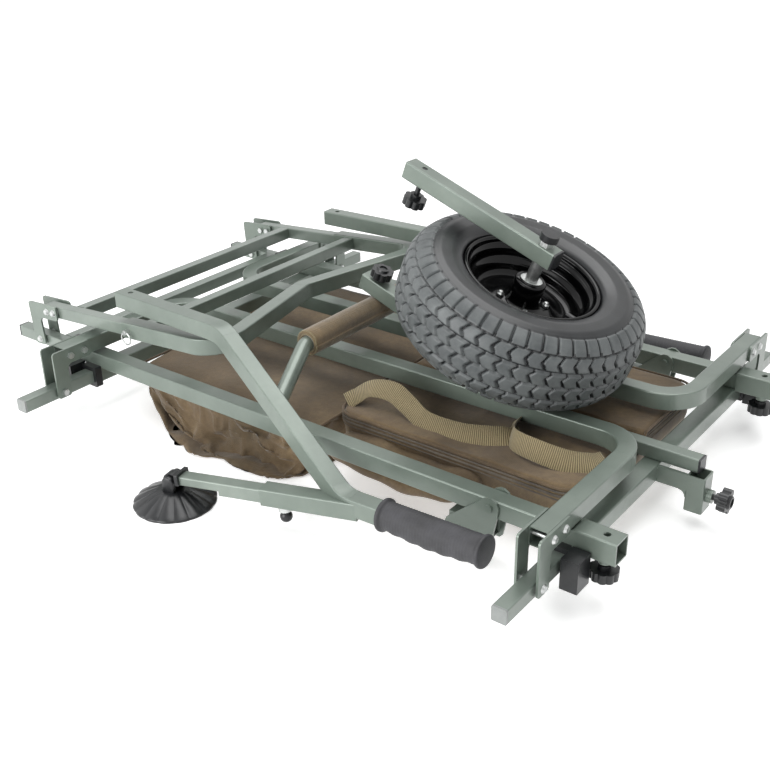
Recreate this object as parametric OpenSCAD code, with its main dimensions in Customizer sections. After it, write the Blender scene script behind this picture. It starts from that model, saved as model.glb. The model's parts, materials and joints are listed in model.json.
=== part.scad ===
// Single-wheel folding trolley, packed flat with its wheel set and handle set on top.
// X runs along the rails, Y across the bed, Z up; the ground is z = 0.

/* [Tube stock] */
// Side of the square frame tube
tube = 25; // [24:1:28]
// Wall of every square tube
tube_wall = 1.5; // [1.2:0.1:2]
// Outside corner radius of the square tubes
tube_round = 2; // [1.6:0.1:3]
// Free space between a sliding tube and the tube round it
slide_gap = 1; // [0.5:0.1:1.5]

/* [Bed] */
// Width over the outer faces of the two rails
bed_width = 528; // [480:4:580]
// Distance from the packed rack tip to the mouth of each rail
rail_mouth = 135; // [130:1:150]
// Distance from the packed rack tip to the other end of the rails
rail_end = 1042; // [1030:2:1080]
// Height of the top of the rails
rail_top = 100; // [96:1:110]
// Centre of the left cross bar
left_bar_x = 190; // [186:1:195]
// Centre of the right cross bar, measured back from the end of the rails
right_bar_inset = 12.5; // [12.5:0.5:20]
// Reach of the packed slide tubes past the rails
side_reach = 137; // [130:1:150]
// Length of each slide tube inside its cross bar
side_grip = 240; // [200:5:255]
// Centre line of the pole along the bed
pole_y = -12.5; // [-20:0.5:20]
// Length of the pole past the end of the rails
pole_overhang = 50; // [40:1:60]

/* [Sockets] */
// Outside of the handle sockets at the corners
socket_side = 30; // [30:1:34]
// Wall of the handle sockets
socket_wall = 2; // [1.5:0.1:2.2]
// Length of the handle sockets
socket_length = 55; // [45:1:70]
// Length of the upright socket along X
upright_depth = 25; // [24:1:30]
// Width of the upright socket along Y
upright_width = 30; // [26:1:34]
// Gap between the upright socket and the end of the rails
upright_gap = 40; // [34:1:46]
// Height of the lower end of the upright socket
upright_foot = 22; // [15:1:30]

/* [Hinge plates] */
// Thickness of the hinge plates
plate = 3; // [2:0.5:4]
// Width of each arm of a hinge plate
plate_arm = 25; // [24:1:28]
// Reach of the long arm from the pivot
plate_reach = 58; // [56:1:64]
// Reach of a hinge plate below its pivot
plate_foot = 8.5; // [8:0.5:12]
// Radius of the pivot and frame bolts
bolt_r = 3; // [2.5:0.25:4]
// Radial clearance of a turning bolt
run_gap = 0.05; // [0.03:0.01:0.1]
// Height of the tube line over the pivot at the side frames
side_lift = 55; // [54:1:60]
// Height of the tube line over the pivot at the rack
rack_lift = 52; // [50:1:56]

/* [Side frames] */
// Distance of the side frame pivots outside the rails
side_pivot_out = 71; // [68:1:76]
// Distance of the side frame cross tubes from the middle of the bed
hoop_y = 67.5; // [60:0.5:80]
// Bend radius of the frame tubes at their centre line
bend_r = 50; // [45:1:60]

/* [Rack] */
// Distance of the rack pivot from the tip
rack_pivot_x = 60; // [56:1:66]
// Height of the rack pivot over the middle of the rails
rack_pivot_up = 2.5; // [0:0.5:4]
// Angle that the packed rack rises toward the handles
rack_tilt = 4.2; // [3.8:0.1:4.6]
// Centre of the cross tube between the rack tips
tip_bar_x = 103; // [98:1:110]
// Centre of the lower rack bar from the pivot
rack_bar_low = 91; // [86:1:100]
// Mouth of the rack hoop from the pivot
rack_hoop_mouth = 216; // [205:1:225]
// Centre of the upper rack bar from the pivot
rack_bar_high = 252; // [248:1:262]
// Corner of the rack hoop from the pivot
rack_corner = 414; // [400:1:418]
// Middle of the V-shaped top of the rack hoop from the pivot
rack_apex = 350; // [342:1:360]

/* [Handle set] */
// Bend radius of the handles
handle_bend = 60; // [50:1:70]
// Diameter of the grips
grip_d = 38; // [37:1:42]
// Length of the grips
grip_length = 150; // [130:1:160]
// Diameter of the round brace
brace_d = 22; // [20:1:25]
// Wall of the round brace
brace_wall = 1.6; // [1.2:0.1:2]
// Diameter of the padded sleeve
pad_d = 40; // [36:1:42]
// Length of the padded sleeve
pad_length = 328; // [280:4:332]
// Length of the sleeve that holds a sliding leg
leg_sleeve = 140; // [120:1:160]
// Distance from the handle to the pin of the mud foot along the leg
leg_length = 286; // [270:1:300]
// Diameter of the mud feet
foot_d = 117; // [100:1:120]

/* [Wheel set] */
// Outside diameter of the tyre
wheel_d = 348; // [330:2:360]
// Width over the tyre
tyre_width = 128; // [120:1:129]
// Diameter of the bead seat
rim_d = 196; // [180:1:204]
// Angle that the packed wheel leans
wheel_lean = 20.5; // [20:0.1:21]
// Distance of the wheel centre from the rack tip
wheel_x = 807; // [800:1:814]
// Height of the wheel centre
wheel_z = 233.3; // [233.3:0.1:238]
// Side of the wheel arms
arm = 25; // [22:1:28]
// Wall of the wheel arms
arm_wall = 2; // [1.5:0.1:2.5]
// Distance of the lower arm from the middle of the wheel
arm_offset = 112; // [108:1:116]
// Distance of the upper arm from the middle of the wheel
upper_offset = 90; // [86:1:104]
// Length of the upper arm behind the axle
upper_arm_back = 235; // [228:1:244]
// Length of the lower arm behind the axle
lower_arm_back = 249; // [246:1:256]
// Length of both arms past the axle
arm_front = 20; // [17:1:34]
// Radius of the axle
axle_r = 6; // [5:0.5:8]

/* [Bags] */
// Near end of the under bag from the rack tip
bag_x0 = 230; // [220:1:240]
// Far end of the under bag
bag_x1 = 616; // [600:1:618]
// Start of the flat bag
flat_x0 = 620; // [620:1:640]
// End of the flat bag
flat_x1 = 1005; // [980:1:1010]
// Half width of the flat bag
flat_half = 186; // [170:1:200]
// Lowest part of the flat bag
flat_low = 42; // [30:1:60]

/* [Hidden] */
$fn = 48;
slide_tube = tube - 2 * tube_wall - 2 * slide_gap;
rail_y = bed_width / 2 - tube / 2;
rail_z = rail_top - tube / 2;
bar_z = rail_z - tube;
right_bar_x = rail_end - right_bar_inset;
pole_side = slide_tube;
pole_z = bar_z + tube / 2 + pole_side / 2;
side_pivot_y = bed_width / 2 + side_pivot_out;
slide_end = bed_width / 2 + side_reach;
hoop_z = bar_z + side_lift;
stop_gap = 0.4;
hoop_start = slide_tube / 2 + stop_gap;
rack_pivot_z = rail_z + rack_pivot_up;
rack_start = 25;
upright_x = rail_end + upright_gap + upright_depth / 2;
upright_y = pole_y - 4.5;
upright_top = bar_z + tube / 2 - 1;
knob_z = 45;
knob_stand = 18;
knob_h = 24;
cap_t = 3;
x_low = -cap_t;
x_high = rail_end + upright_gap + upright_depth + knob_stand + knob_h / 2 + 3;
socket_y = rail_y;
rest_gap = 0.3;
lap = 2;
swell = 0.1;
screw_r = 4;
handle_in = [256, -244, 200.5];
handle_top = [478, -252, 201.5];
handle_low = [750, -324, 64];
handle_tip = [957, -324, 71.3];
leg_root = [775, -324, 60];
leg_aim = [-278, -62, -24];
brace_foot_t = 0.47;
brace_bend = [556, -169];
pad_x = 556;
lean_x = sin(wheel_lean);
lean_z = cos(wheel_lean);
pad_z = wheel_z - (arm_offset + arm / 2 + pad_d / 2 + rest_gap + lean_x * (pad_x - wheel_x)) / lean_z;

function unit(v) = v / norm(v);
function spin(v, k, a) = v * cos(a) + cross(k, v) * sin(a) + k * (k * v) * (1 - cos(a));
function first_frame(d) = let(x = unit(d), y = unit(cross([0, 0, 1], x))) [x, y, cross(x, y)];
function euler(f) = [atan2(f[1].z, f[2].z), -asin(f[0].z), atan2(f[0].y, f[0].x)];
function turn_of(a, b) = acos(min(1, max(-1, unit(a) * unit(b))));
function carry(f, d) = let(k = cross(f[0], unit(d)), a = turn_of(f[0], d), n = unit(k))
    [unit(d), spin(f[1], n, a), spin(f[2], n, a)];
function setback(p, i, r) = i <= 0 || i >= len(p) - 1 ? 0 : r * tan(turn_of(p[i] - p[i - 1], p[i + 1] - p[i]) / 2);

// Places everything with the origin under the middle of the packed trolley.
module seat() {
    translate([-(x_low + x_high) / 2, 0, 0]) children();
}

module far() {
    mirror([0, 1, 0]) children();
}

module both() {
    children();
    far() children();
}

module round_rect(a, b, r) {
    square([a, b - 2 * r], center = true);
    square([a - 2 * r, b], center = true);
    for (i = [-1, 1], j = [-1, 1])
        translate([i * (a / 2 - r), j * (b / 2 - r)]) circle(r);
}

module section(s, w, ring) {
    difference() {
        if (ring) circle(d = s);
        else round_rect(s, s, tube_round);
        if (w > 0) {
            if (ring) circle(d = s - 2 * w);
            else round_rect(s - 2 * w, s - 2 * w, max(tube_round - w, 0.3));
        }
    }
}

// Straight tube along +X; w = 0 makes it solid.
module bar(l, s, w, ring = false) {
    rotate([90, 0, 90]) linear_extrude(height = l) section(s, w, ring);
}

// Solid bar through the points p with bends of radius r; the section is carried round each bend without twist.
// A bend is a little fuller than the straights, which end inside it.
module bent_bar(p, r, s, ring = false, f = undef, i = 0) {
    frame = is_undef(f) ? first_frame(p[1] - p[0]) : f;
    d = p[i + 1] - p[i];
    a = setback(p, i, r);
    b = setback(p, i + 1, r);
    first = i == 0 ? 0 : lap;
    last = i == len(p) - 2 ? 0 : lap;
    translate(p[i] + unit(d) * (a - first)) rotate(euler(frame)) bar(norm(d) - a - b + first + last, s, 0, ring);
    if (i < len(p) - 2) {
        e = unit(p[i + 2] - p[i + 1]);
        side = e - (e * frame[0]) * frame[0];
        phi = atan2(side * frame[2], side * frame[1]);
        translate(p[i + 1] - unit(d) * b) rotate(euler(frame)) rotate([phi, 0, 0])
            translate([0, r, 0]) rotate([0, 0, -90]) rotate_extrude(angle = turn_of(d, e))
                translate([r, 0]) rotate([0, 0, phi]) section(s + 2 * swell, 0, ring);
        bent_bar(p, r, s, ring, carry(frame, e), i + 1);
    }
}

// The points p with both ends carried on by 3 mm, for a bore that leaves its tube.
function past_ends(p) = [for (i = [0:len(p) - 1])
    i == 0 ? p[0] - unit(p[1] - p[0]) * 3 : i == len(p) - 1 ? p[i] + unit(p[i] - p[i - 1]) * 3 : p[i]];

// Bent tube of wall w.
module bent_tube(p, r, s, w, ring = false) {
    difference() {
        bent_bar(p, r, s, ring);
        bent_bar(past_ends(p), r, s - 2 * w, ring);
    }
}

// Moves +X to the direction d at the point p.
module aim(p, d) {
    translate(p) rotate(euler(first_frame(d))) children();
}

module cross_pin(r, l) {
    rotate([90, 0, 0]) cylinder(r = r, h = l, center = true);
}

module end_plug(s, w = tube_wall) {
    cap = s - 2 * w - 0.4;
    translate([-10, -cap / 2, -cap / 2]) cube([10, cap, cap]);
    rotate([90, 0, 90]) linear_extrude(height = cap_t) round_rect(s, s, tube_round);
}

// Star knob along +Z with its stud pointing to -Z.
module star_knob(stud, lobes = 5, r = 17) {
    difference() {
        union() {
            linear_extrude(height = knob_h / 2) {
                circle(r = r * 0.72);
                for (i = [0:lobes - 1]) rotate(i * 360 / lobes) translate([r * 0.66, 0]) circle(r = r * 0.34);
            }
            translate([0, 0, knob_h / 2 - 1]) cylinder(r1 = r * 0.62, r2 = r * 0.5, h = 4);
        }
        translate([0, 0, knob_h / 2 + 1]) cylinder(r = r * 0.36, h = 5);
    }
    translate([0, 0, -6]) cylinder(r = r * 0.45, h = 7);
    translate([0, 0, -stud]) cylinder(r = screw_r, h = stud - 5);
}

module arm_profile(offset) {
    tall = offset + plate_arm / 2 + plate_foot;
    translate([0, tall / 2 - plate_foot]) round_rect(plate_arm, tall, 5);
    translate([(plate_reach - plate_arm / 2) / 2, offset]) round_rect(plate_reach + plate_arm / 2, plate_arm, 5);
    difference() {
        translate([plate_arm / 2 - 0.5, offset - plate_arm / 2 - 8]) square(8.5);
        translate([plate_arm / 2 + 8, offset - plate_arm / 2 - 8]) circle(8);
    }
}

frame_bolts = [19, 45];
rack_bolt_places = [33, 49];

// Two angled plates either side of a tube; the pivot is at the origin along Y, the tube line offset above it.
module hinge_pair(offset, places = frame_bolts) {
    for (s = [-1, 1])
        translate([0, s * (tube / 2 + plate / 2), 0]) rotate([90, 0, 0]) linear_extrude(height = plate, center = true)
            difference() {
                arm_profile(offset);
                circle(r = bolt_r + run_gap);
                for (u = places) translate([u, offset]) circle(r = bolt_r);
            }
}

module bolt_through(len) {
    cross_pin(bolt_r, len);
    translate([0, -len / 2 - 1.5, 0]) rotate([90, 0, 0]) cylinder(r1 = bolt_r * 1.9, r2 = bolt_r * 1.3, h = 3, center = true);
    translate([0, len / 2 + 2, 0]) rotate([90, 0, 0]) cylinder(r = bolt_r * 1.75, h = 4, center = true, $fn = 6);
}

module hinge_bolts(offset, places = frame_bolts) {
    bolt_through(tube + 2 * plate);
    for (u = places) translate([u, 0, offset]) bolt_through(tube + 2 * plate);
    for (s = [-1, 1])
        translate([0, s * (slide_tube / 2 + tube / 2) / 2, 0]) rotate([90, 0, 0]) difference() {
            cylinder(r = bolt_r + 5, h = (tube - slide_tube) / 2 - 0.2, center = true);
            cylinder(r = bolt_r, h = 9, center = true);
        }
}

module near_rail() {
    color("#A5AFA5") seat() difference() {
        translate([rail_mouth, -rail_y, rail_z]) bar(rail_end - rail_mouth, tube, tube_wall);
        translate([leg_pivot_x, -rail_y, leg_pivot_z]) cross_pin(bolt_r + run_gap, tube + 2);
    }
}

module far_rail() {
    far() near_rail();
}

module cross_bar(x) {
    translate([x, -bed_width / 2, bar_z]) rotate([0, 0, 90]) bar(bed_width, tube, tube_wall);
}

module left_cross_bar() {
    color("#9AA49A") seat() cross_bar(left_bar_x);
}

module right_cross_bar() {
    color("#9AA49A") seat() cross_bar(right_bar_x);
}

socket_screw_x = rail_end + 36;

module corner_socket() {
    difference() {
        union() {
            translate([rail_end, -socket_y, rail_z]) bar(socket_length, socket_side, socket_wall);
            translate([rail_end, -socket_y - socket_side / 2 + 1, rail_z - socket_side / 2 + 1]) cube([3, socket_side - 2, socket_side - 2]);
            translate([socket_screw_x, -socket_y, rail_z - socket_side / 2 - 8]) cylinder(r = 8, h = 9);
        }
        translate([socket_screw_x, -socket_y, rail_z - socket_side / 2 - 9]) cylinder(r = screw_r + run_gap, h = 12);
        translate([socket_screw_x, -socket_y, rail_z]) cylinder(r = 4.5, h = 30);
    }
}

module corner_sockets() {
    color("#97A197") seat() both() corner_socket();
}

module centre_socket() {
    color("#8E988E") seat() difference() {
        union() {
            translate([upright_x, upright_y, upright_foot]) linear_extrude(height = upright_top - upright_foot) difference() {
                round_rect(upright_depth, upright_width, 3);
                round_rect(upright_depth - 5, upright_width - 5, 1);
            }
            translate([upright_x + upright_depth / 2 - 1, upright_y, knob_z]) rotate([0, 90, 0]) cylinder(r = 9, h = 9);
            translate([0, upright_y - upright_width / 2 + 5, 0]) rotate([90, 0, 0]) linear_extrude(height = 5) {
                translate([rail_end, bar_z - 12]) square([upright_gap + 2.4, 23.5]);
                difference() {
                    translate([rail_end + upright_gap - 9, bar_z - 21.5]) square(10);
                    translate([rail_end + upright_gap - 9, bar_z - 21.5]) circle(r = 9);
                }
            }
        }
        translate([upright_x + upright_depth / 2 - 5, upright_y, knob_z]) rotate([0, 90, 0]) cylinder(r = screw_r + run_gap, h = 20);
    }
}

module centre_pole() {
    color("#A1ABA1") seat() translate([left_bar_x - tube / 2, pole_y, pole_z])
        bar(rail_end + pole_overhang - left_bar_x + tube / 2, pole_side, tube_wall);
}

// Plastic guide in the mouth of a tube along +X, with a clamp block on its side.
module collar(block) {
    difference() {
        union() {
            translate([-12, 0, 0]) bar(12, tube + 8, 0);
            bar(14, tube - 2 * tube_wall - 0.1, 0);
            if (block) translate([-34, -tube / 2 - 26, -22]) cube([29, 23, 42]);
            if (block) translate([-12, -tube / 2 - 5, -12]) cube([12, 4, 24]);
        }
        translate([-13, 0, 0]) bar(40, slide_tube + 0.2, 0);
    }
}

module tube_collars() {
    color("#26282A") seat() {
        both() translate([rail_mouth, -rail_y, rail_z]) collar(false);
        both() translate([left_bar_x, -bed_width / 2, bar_z]) rotate([0, 0, 90]) mirror([0, 1, 0]) collar(true);
        both() difference() {
            translate([right_bar_x, -bed_width / 2, bar_z]) rotate([0, 0, 90]) collar(true);
            translate([rail_end - rest_gap, -socket_y - socket_side / 2 - rest_gap, rail_z - socket_side / 2 - rest_gap])
                cube([20, socket_side + 2 * rest_gap, socket_side]);
        }
        translate([rail_end + pole_overhang, pole_y, pole_z]) end_plug(pole_side);
    }
}

module under_bag() {
    top = bar_z + tube / 2 - rest_gap;
    half = bed_width / 2 - 2;
    color("#6B5540") seat() hull() for (x = [bag_x0 + 25, bag_x1 - 25], y = [-half + 25, half - 25]) {
        translate([x, y, 25]) sphere(r = 25, $fn = 24);
        translate([x, y, 0]) cylinder(r = 3, h = 5, $fn = 24);
        translate([x, y, top - 6]) cylinder(r = 25, h = 6, $fn = 24);
    }
}

module flat_bag() {
    color("#6B5540") seat() difference() {
        translate([(flat_x0 + flat_x1) / 2, 0, flat_low]) linear_extrude(height = rail_top - 2 - flat_low)
            round_rect(flat_x1 - flat_x0, 2 * flat_half, 14);
        translate([flat_x0 - 5, pole_y - pole_side / 2 - rest_gap, pole_z - pole_side / 2 - 0.3])
            cube([flat_x1 - flat_x0 + 10, pole_side + 2 * rest_gap, pole_side + 0.6]);
    }
}

module bag_handles() {
    color("#968769") seat() for (x = [720, 900]) translate([x, 0, rail_top - 1.9]) rotate([90, 0, 90])
        linear_extrude(height = 25, center = true) {
            translate([-150, 0]) square([300, 1.6]);
        }
}

module side_slide() {
    for (x = [left_bar_x, right_bar_x]) difference() {
        translate([x, -slide_end, bar_z]) rotate([0, 0, 90]) bar(side_reach + side_grip, slide_tube, tube_wall);
        translate([x, -side_pivot_y, bar_z]) rotate([0, 0, 90]) cross_pin(bolt_r + run_gap, 60);
    }
}

module side_caps() {
    for (x = [left_bar_x, right_bar_x])
        translate([x, -slide_end, bar_z]) rotate([0, 0, -90]) end_plug(slide_tube);
}

module side_hoop() {
    y0 = -side_pivot_y + hoop_start;
    difference() {
        bent_tube([[left_bar_x, y0, hoop_z], [left_bar_x, -hoop_y, hoop_z], [right_bar_x, -hoop_y, hoop_z],
            [right_bar_x, y0, hoop_z]], bend_r, tube, tube_wall);
        for (x = [left_bar_x, right_bar_x], u = frame_bolts)
            translate([x, -side_pivot_y + u, hoop_z]) rotate([0, 0, 90]) cross_pin(bolt_r, 60);
    }
}

module side_plates() {
    for (x = [left_bar_x, right_bar_x])
        translate([x, -side_pivot_y, bar_z]) rotate([0, 0, 90]) hinge_pair(side_lift);
}

module side_bolts() {
    translate([left_bar_x, -side_pivot_y, bar_z]) rotate([0, 0, 90]) mirror([0, 1, 0]) hinge_bolts(side_lift);
    translate([right_bar_x, -side_pivot_y, bar_z]) rotate([0, 0, 90]) hinge_bolts(side_lift);
}

module near_slide() {
    color("#AEB5AE") seat() side_slide();
}

module near_slide_caps() {
    color("#8C8F8C") seat() side_caps();
}

module near_hoop() {
    color("#A5AFA5") seat() side_hoop();
}

module near_plates() {
    color("#929C92") seat() side_plates();
}

module near_bolts() {
    color("#C2C4C4") seat() side_bolts();
}

module far_slide() {
    far() near_slide();
}

module far_slide_caps() {
    far() near_slide_caps();
}

module far_hoop() {
    far() near_hoop();
}

module far_plates() {
    far() near_plates();
}

module far_bolts() {
    far() near_bolts();
}

module rack_slide() {
    color("#AEB5AE") seat() {
        both() difference() {
            translate([0, -rail_y, rail_z]) bar(rail_mouth + 240, slide_tube, tube_wall);
            translate([rack_pivot_x, -rail_y, rack_pivot_z]) cross_pin(bolt_r + run_gap, 60);
        }
        translate([tip_bar_x, -rail_y + slide_tube / 2, rail_z]) rotate([0, 0, 90])
            bar(2 * rail_y - slide_tube, slide_tube, tube_wall);
    }
}

module rack_slide_caps() {
    color("#26282A") seat() both() translate([0, -rail_y, rail_z]) mirror([1, 0, 0]) end_plug(slide_tube);
}

module rack_frame() {
    seat() translate([rack_pivot_x, 0, rack_pivot_z]) rotate([0, -rack_tilt, 0]) children();
}

module rack_legs() {
    color("#AEB5AE") rack_frame() {
        both() difference() {
            translate([rack_start, -rail_y, rack_lift]) bar(rack_corner - rack_start - 140, slide_tube, tube_wall);
            for (u = rack_bolt_places) translate([u, -rail_y, rack_lift]) cross_pin(bolt_r, 60);
        }
        translate([rack_bar_low, -rail_y + slide_tube / 2, rack_lift]) rotate([0, 0, 90])
            bar(2 * rail_y - slide_tube, slide_tube, tube_wall);
    }
}

module rack_plates() {
    color("#929C92") rack_frame() both() translate([0, -rail_y, 0]) hinge_pair(rack_lift, rack_bolt_places);
}

module rack_bolts() {
    color("#C2C4C4") rack_frame() both() translate([0, -rail_y, 0]) {
        hinge_bolts(rack_lift, rack_bolt_places);
        for (u = rack_bolt_places, s = [-1, 1])
            translate([u, s * (slide_tube / 2 + tube / 2) / 2, rack_lift]) rotate([90, 0, 0]) difference() {
                cylinder(r = bolt_r + 4, h = (tube - slide_tube) / 2, center = true);
                cylinder(r = bolt_r, h = 9, center = true);
            }
    }
}

module rack_hoop() {
    color("#A5AFA5") rack_frame() {
        bent_tube([[rack_hoop_mouth, -rail_y, rack_lift], [rack_corner, -rail_y, rack_lift], [rack_apex, 0, rack_lift],
            [rack_corner, rail_y, rack_lift], [rack_hoop_mouth, rail_y, rack_lift]], bend_r - 10, tube, tube_wall);
        translate([rack_bar_high, -rail_y + tube / 2, rack_lift]) rotate([0, 0, 90])
            bar(2 * rail_y - tube, slide_tube, tube_wall);
    }
}

module ring_pins() {
    color("#C2C4C4") rack_frame() both() translate([rack_hoop_mouth + 14, -rail_y, rack_lift]) {
        translate([0, -tube / 2, 0]) rotate([90, 0, 0]) cylinder(r = 4, h = 8);
        translate([0, -tube / 2 - 6, -9.6]) rotate([90, 0, 0]) rotate_extrude() translate([9.6, 0]) circle(r = 1.3);
    }
}

handle_path = [handle_in, handle_top, handle_low, handle_tip];
leg_dir = unit(leg_aim);
leg_pin = leg_root + leg_dir * leg_length;

module leg_frame() {
    aim(leg_root, leg_dir) children();
}

module handle() {
    difference() {
        union() {
            bent_bar(handle_path, handle_bend, tube);
            leg_frame() bar(leg_sleeve, tube, 0);
        }
        bent_bar(past_ends(handle_path), handle_bend, tube - 2 * tube_wall);
        leg_frame() translate([45, 0, 0]) bar(leg_sleeve, tube - 2 * tube_wall, 0);
        leg_frame() translate([leg_sleeve - 29, 0, 0]) rotate([180, 0, 0]) cylinder(r = 3.2, h = 30);
        translate(handle_in + [22, 0, 0]) cylinder(r = 4.2, h = 60, center = true);
    }
}

module near_handle() {
    color("#A5AFA5") seat() handle();
}

module far_handle() {
    far() near_handle();
}

brace_root = handle_top + (handle_low - handle_top) * brace_foot_t;

brace_path = [brace_root, [brace_bend.x, brace_bend.y, pad_z], [brace_bend.x, -brace_bend.y, pad_z],
    [brace_root.x, -brace_root.y, brace_root.z]];

module brace() {
    color("#A1ABA1") seat() difference() {
        bent_tube(brace_path, 40, brace_d, brace_wall, true);
        both() bent_bar(handle_path, handle_bend, tube);
    }
}

module brace_pad() {
    color("#6B5540") seat() difference() {
        translate([pad_x, 0, pad_z]) rotate([90, 0, 0]) cylinder(d = pad_d, h = pad_length, center = true);
        bent_bar(brace_path, 40, brace_d + 0.2, true);
    }
}

module grip() {
    aim(handle_tip, handle_low - handle_tip) difference() {
        translate([-6, 0, 0]) rotate([0, 90, 0]) union() {
            cylinder(d = grip_d + 6, h = 5);
            translate([0, 0, 5]) cylinder(d = grip_d, h = grip_length - 10);
            translate([0, 0, grip_length - 5]) cylinder(d = grip_d + 8, h = 5);
        }
        translate([-0.1, 0, 0]) bar(grip_length + 10, tube + 0.1, 0);
    }
}

module grips() {
    color("#414144") seat() both() grip();
}

module handle_fittings() {
    color("#B4B6B6") seat() both() leg_frame() translate([leg_sleeve - 29, 0, -tube / 2]) rotate([180, 0, 0]) difference() {
        cylinder(r = 9, h = 8);
        translate([0, 0, -1]) cylinder(r = 3.2, h = 15);
    }
}

module plunger() {
    leg_frame() translate([leg_sleeve - 29, 0, -tube / 2]) rotate([180, 0, 0]) {
        translate([0, 0, -0.4]) cylinder(r = 3.1, h = 14);
        translate([0, 0, 17]) sphere(r = 8.5);
    }
}

module near_plunger() {
    color("#26282A") seat() plunger();
}

module far_plunger() {
    far() near_plunger();
}

// Room under the leg for the rim of the tilting foot.
module foot_room() {
    leg_frame() translate([leg_length - 80, -20, -32]) cube([80, 40, 30]);
}

module leg() {
    difference() {
        leg_frame() translate([60, 0, 0]) bar(leg_length - 78, slide_tube, tube_wall);
        foot_room();
    }
}

module near_leg() {
    color("#AEB5AE") seat() leg();
}

module far_leg() {
    far() near_leg();
}

pin_axis = unit([leg_dir.y, -leg_dir.x, 0]);
pin_turn = atan2(pin_axis.y, pin_axis.x) - 90;

module knuckle() {
    difference() {
        union() {
            difference() {
                leg_frame() union() {
                    translate([leg_length - 18, 0, 0]) bar(5, tube + 3, 0);
                    translate([leg_length - 86, 0, 0]) bar(72, slide_tube - 2 * tube_wall - 0.2, 0);
                }
                foot_room();
            }
            translate(leg_pin) rotate([0, 0, pin_turn]) {
                cross_pin(11, 14);
                translate([0, -7, -2]) cube([16, 14, 11]);
            }
        }
        translate(leg_pin) rotate([0, 0, pin_turn]) cross_pin(bolt_r + run_gap, 40);
    }
}

module near_knuckle() {
    color("#26282A") seat() knuckle();
}

module far_knuckle() {
    far() near_knuckle();
}

module foot() {
    z0 = leg_pin.z;
    translate([leg_pin.x, leg_pin.y, 0]) {
        difference() {
            union() {
                rotate_extrude() polygon([[0, 2], [foot_d / 2, 0], [foot_d / 2, 4], [foot_d / 2 - 6, 7], [26, 14], [0, 16]]);
                for (i = [0:11]) rotate([0, 0, i * 30]) translate([foot_d / 2 - 18, 0, 6]) rotate([0, -70, 0]) cylinder(r = 4, h = 18, center = true);
                for (s = [-1, 1]) rotate([0, 0, pin_turn]) translate([-9, s * 11 - 3.5, 8]) cube([18, 7, z0 - 8]);
                for (s = [-1, 1]) translate([0, 0, z0]) rotate([0, 0, pin_turn]) translate([0, s * 11, 0]) cross_pin(9, 7);
            }
            translate([0, 0, z0]) rotate([0, 0, pin_turn]) cross_pin(bolt_r, 40);
            translate([0, 0, z0]) rotate([0, 0, pin_turn]) cross_pin(12, 14.8);
        }
        translate([0, 0, z0]) rotate([0, 0, pin_turn]) cross_pin(bolt_r, 32);
    }
}

module near_foot() {
    color("#2C2E2F") seat() foot();
}

module far_foot() {
    far() near_foot();
}

module wheel_frame() {
    seat() translate([wheel_x, 0, wheel_z]) rotate([0, wheel_lean, 0]) children();
}

module wheel_arm(back, z) {
    difference() {
        translate([-back, 0, z]) bar(back + arm_front, arm, arm_wall);
        translate([0, 0, z]) cylinder(r = axle_r, h = 60, center = true);
        translate([-back + 25, 0, z]) cylinder(r = screw_r + run_gap, h = 60, center = true);
    }
}

module upper_arm() {
    color("#A5AFA5") wheel_frame() wheel_arm(upper_arm_back, upper_offset);
}

module lower_arm() {
    color("#A5AFA5") wheel_frame() wheel_arm(lower_arm_back, -arm_offset);
}

hub_half = 46;

module axle() {
    color("#C2C4C4") wheel_frame() {
        translate([0, 0, -arm_offset - arm / 2 - 7]) cylinder(r = axle_r, h = arm_offset + upper_offset + arm + 15);
        for (s = [[1, upper_offset], [-1, arm_offset]]) scale([1, 1, s[0]]) {
            translate([0, 0, s[1] + arm / 2]) cylinder(r = axle_r * 1.7, h = 7, $fn = 6);
            translate([0, 0, hub_half + 0.3]) difference() {
                cylinder(r = axle_r + 3, h = s[1] - arm / 2 - hub_half - 0.3);
                translate([0, 0, -1]) cylinder(r = axle_r, h = 60);
            }
        }
    }
}

module arm_caps() {
    color("#26282A") wheel_frame() {
        translate([arm_front, 0, upper_offset]) end_plug(arm, arm_wall);
        translate([arm_front, 0, -arm_offset]) end_plug(arm, arm_wall);
    }
}

module socket_knob() {
    color("#1F2022") seat() translate([upright_x + upright_depth / 2 + knob_stand, upright_y, knob_z])
        rotate([0, 90, 0]) star_knob(knob_stand + 2);
}

module corner_knob() {
    translate([socket_screw_x, -socket_y, rail_z - socket_side / 2 - 16]) rotate([180, 0, 0]) star_knob(18, 10, 18);
}

module near_corner_knob() {
    color("#1F2022") seat() corner_knob();
}

module far_corner_knob() {
    far() near_corner_knob();
}

module upper_arm_knob() {
    color("#1F2022") wheel_frame() translate([-upper_arm_back + 25, 0, upper_offset - arm / 2 - 22]) rotate([180, 0, 0]) star_knob(46, 8);
}

module lower_arm_knob() {
    color("#1F2022") wheel_frame() translate([-lower_arm_back + 25, 0, -arm_offset + arm / 2 + 7]) star_knob(31, 8);
}

module axle_knob() {
    color("#1F2022") wheel_frame() translate([0, 0, upper_offset + arm / 2 + 8.4]) difference() {
        cylinder(r = 13, h = 10);
        translate([0, 0, -1]) cylinder(r = axle_r + 0.05, h = 8);
    }
}

tyre_half = tyre_width / 2;
tyre_r = wheel_d / 2;
seat_r = rim_d / 2;

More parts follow.
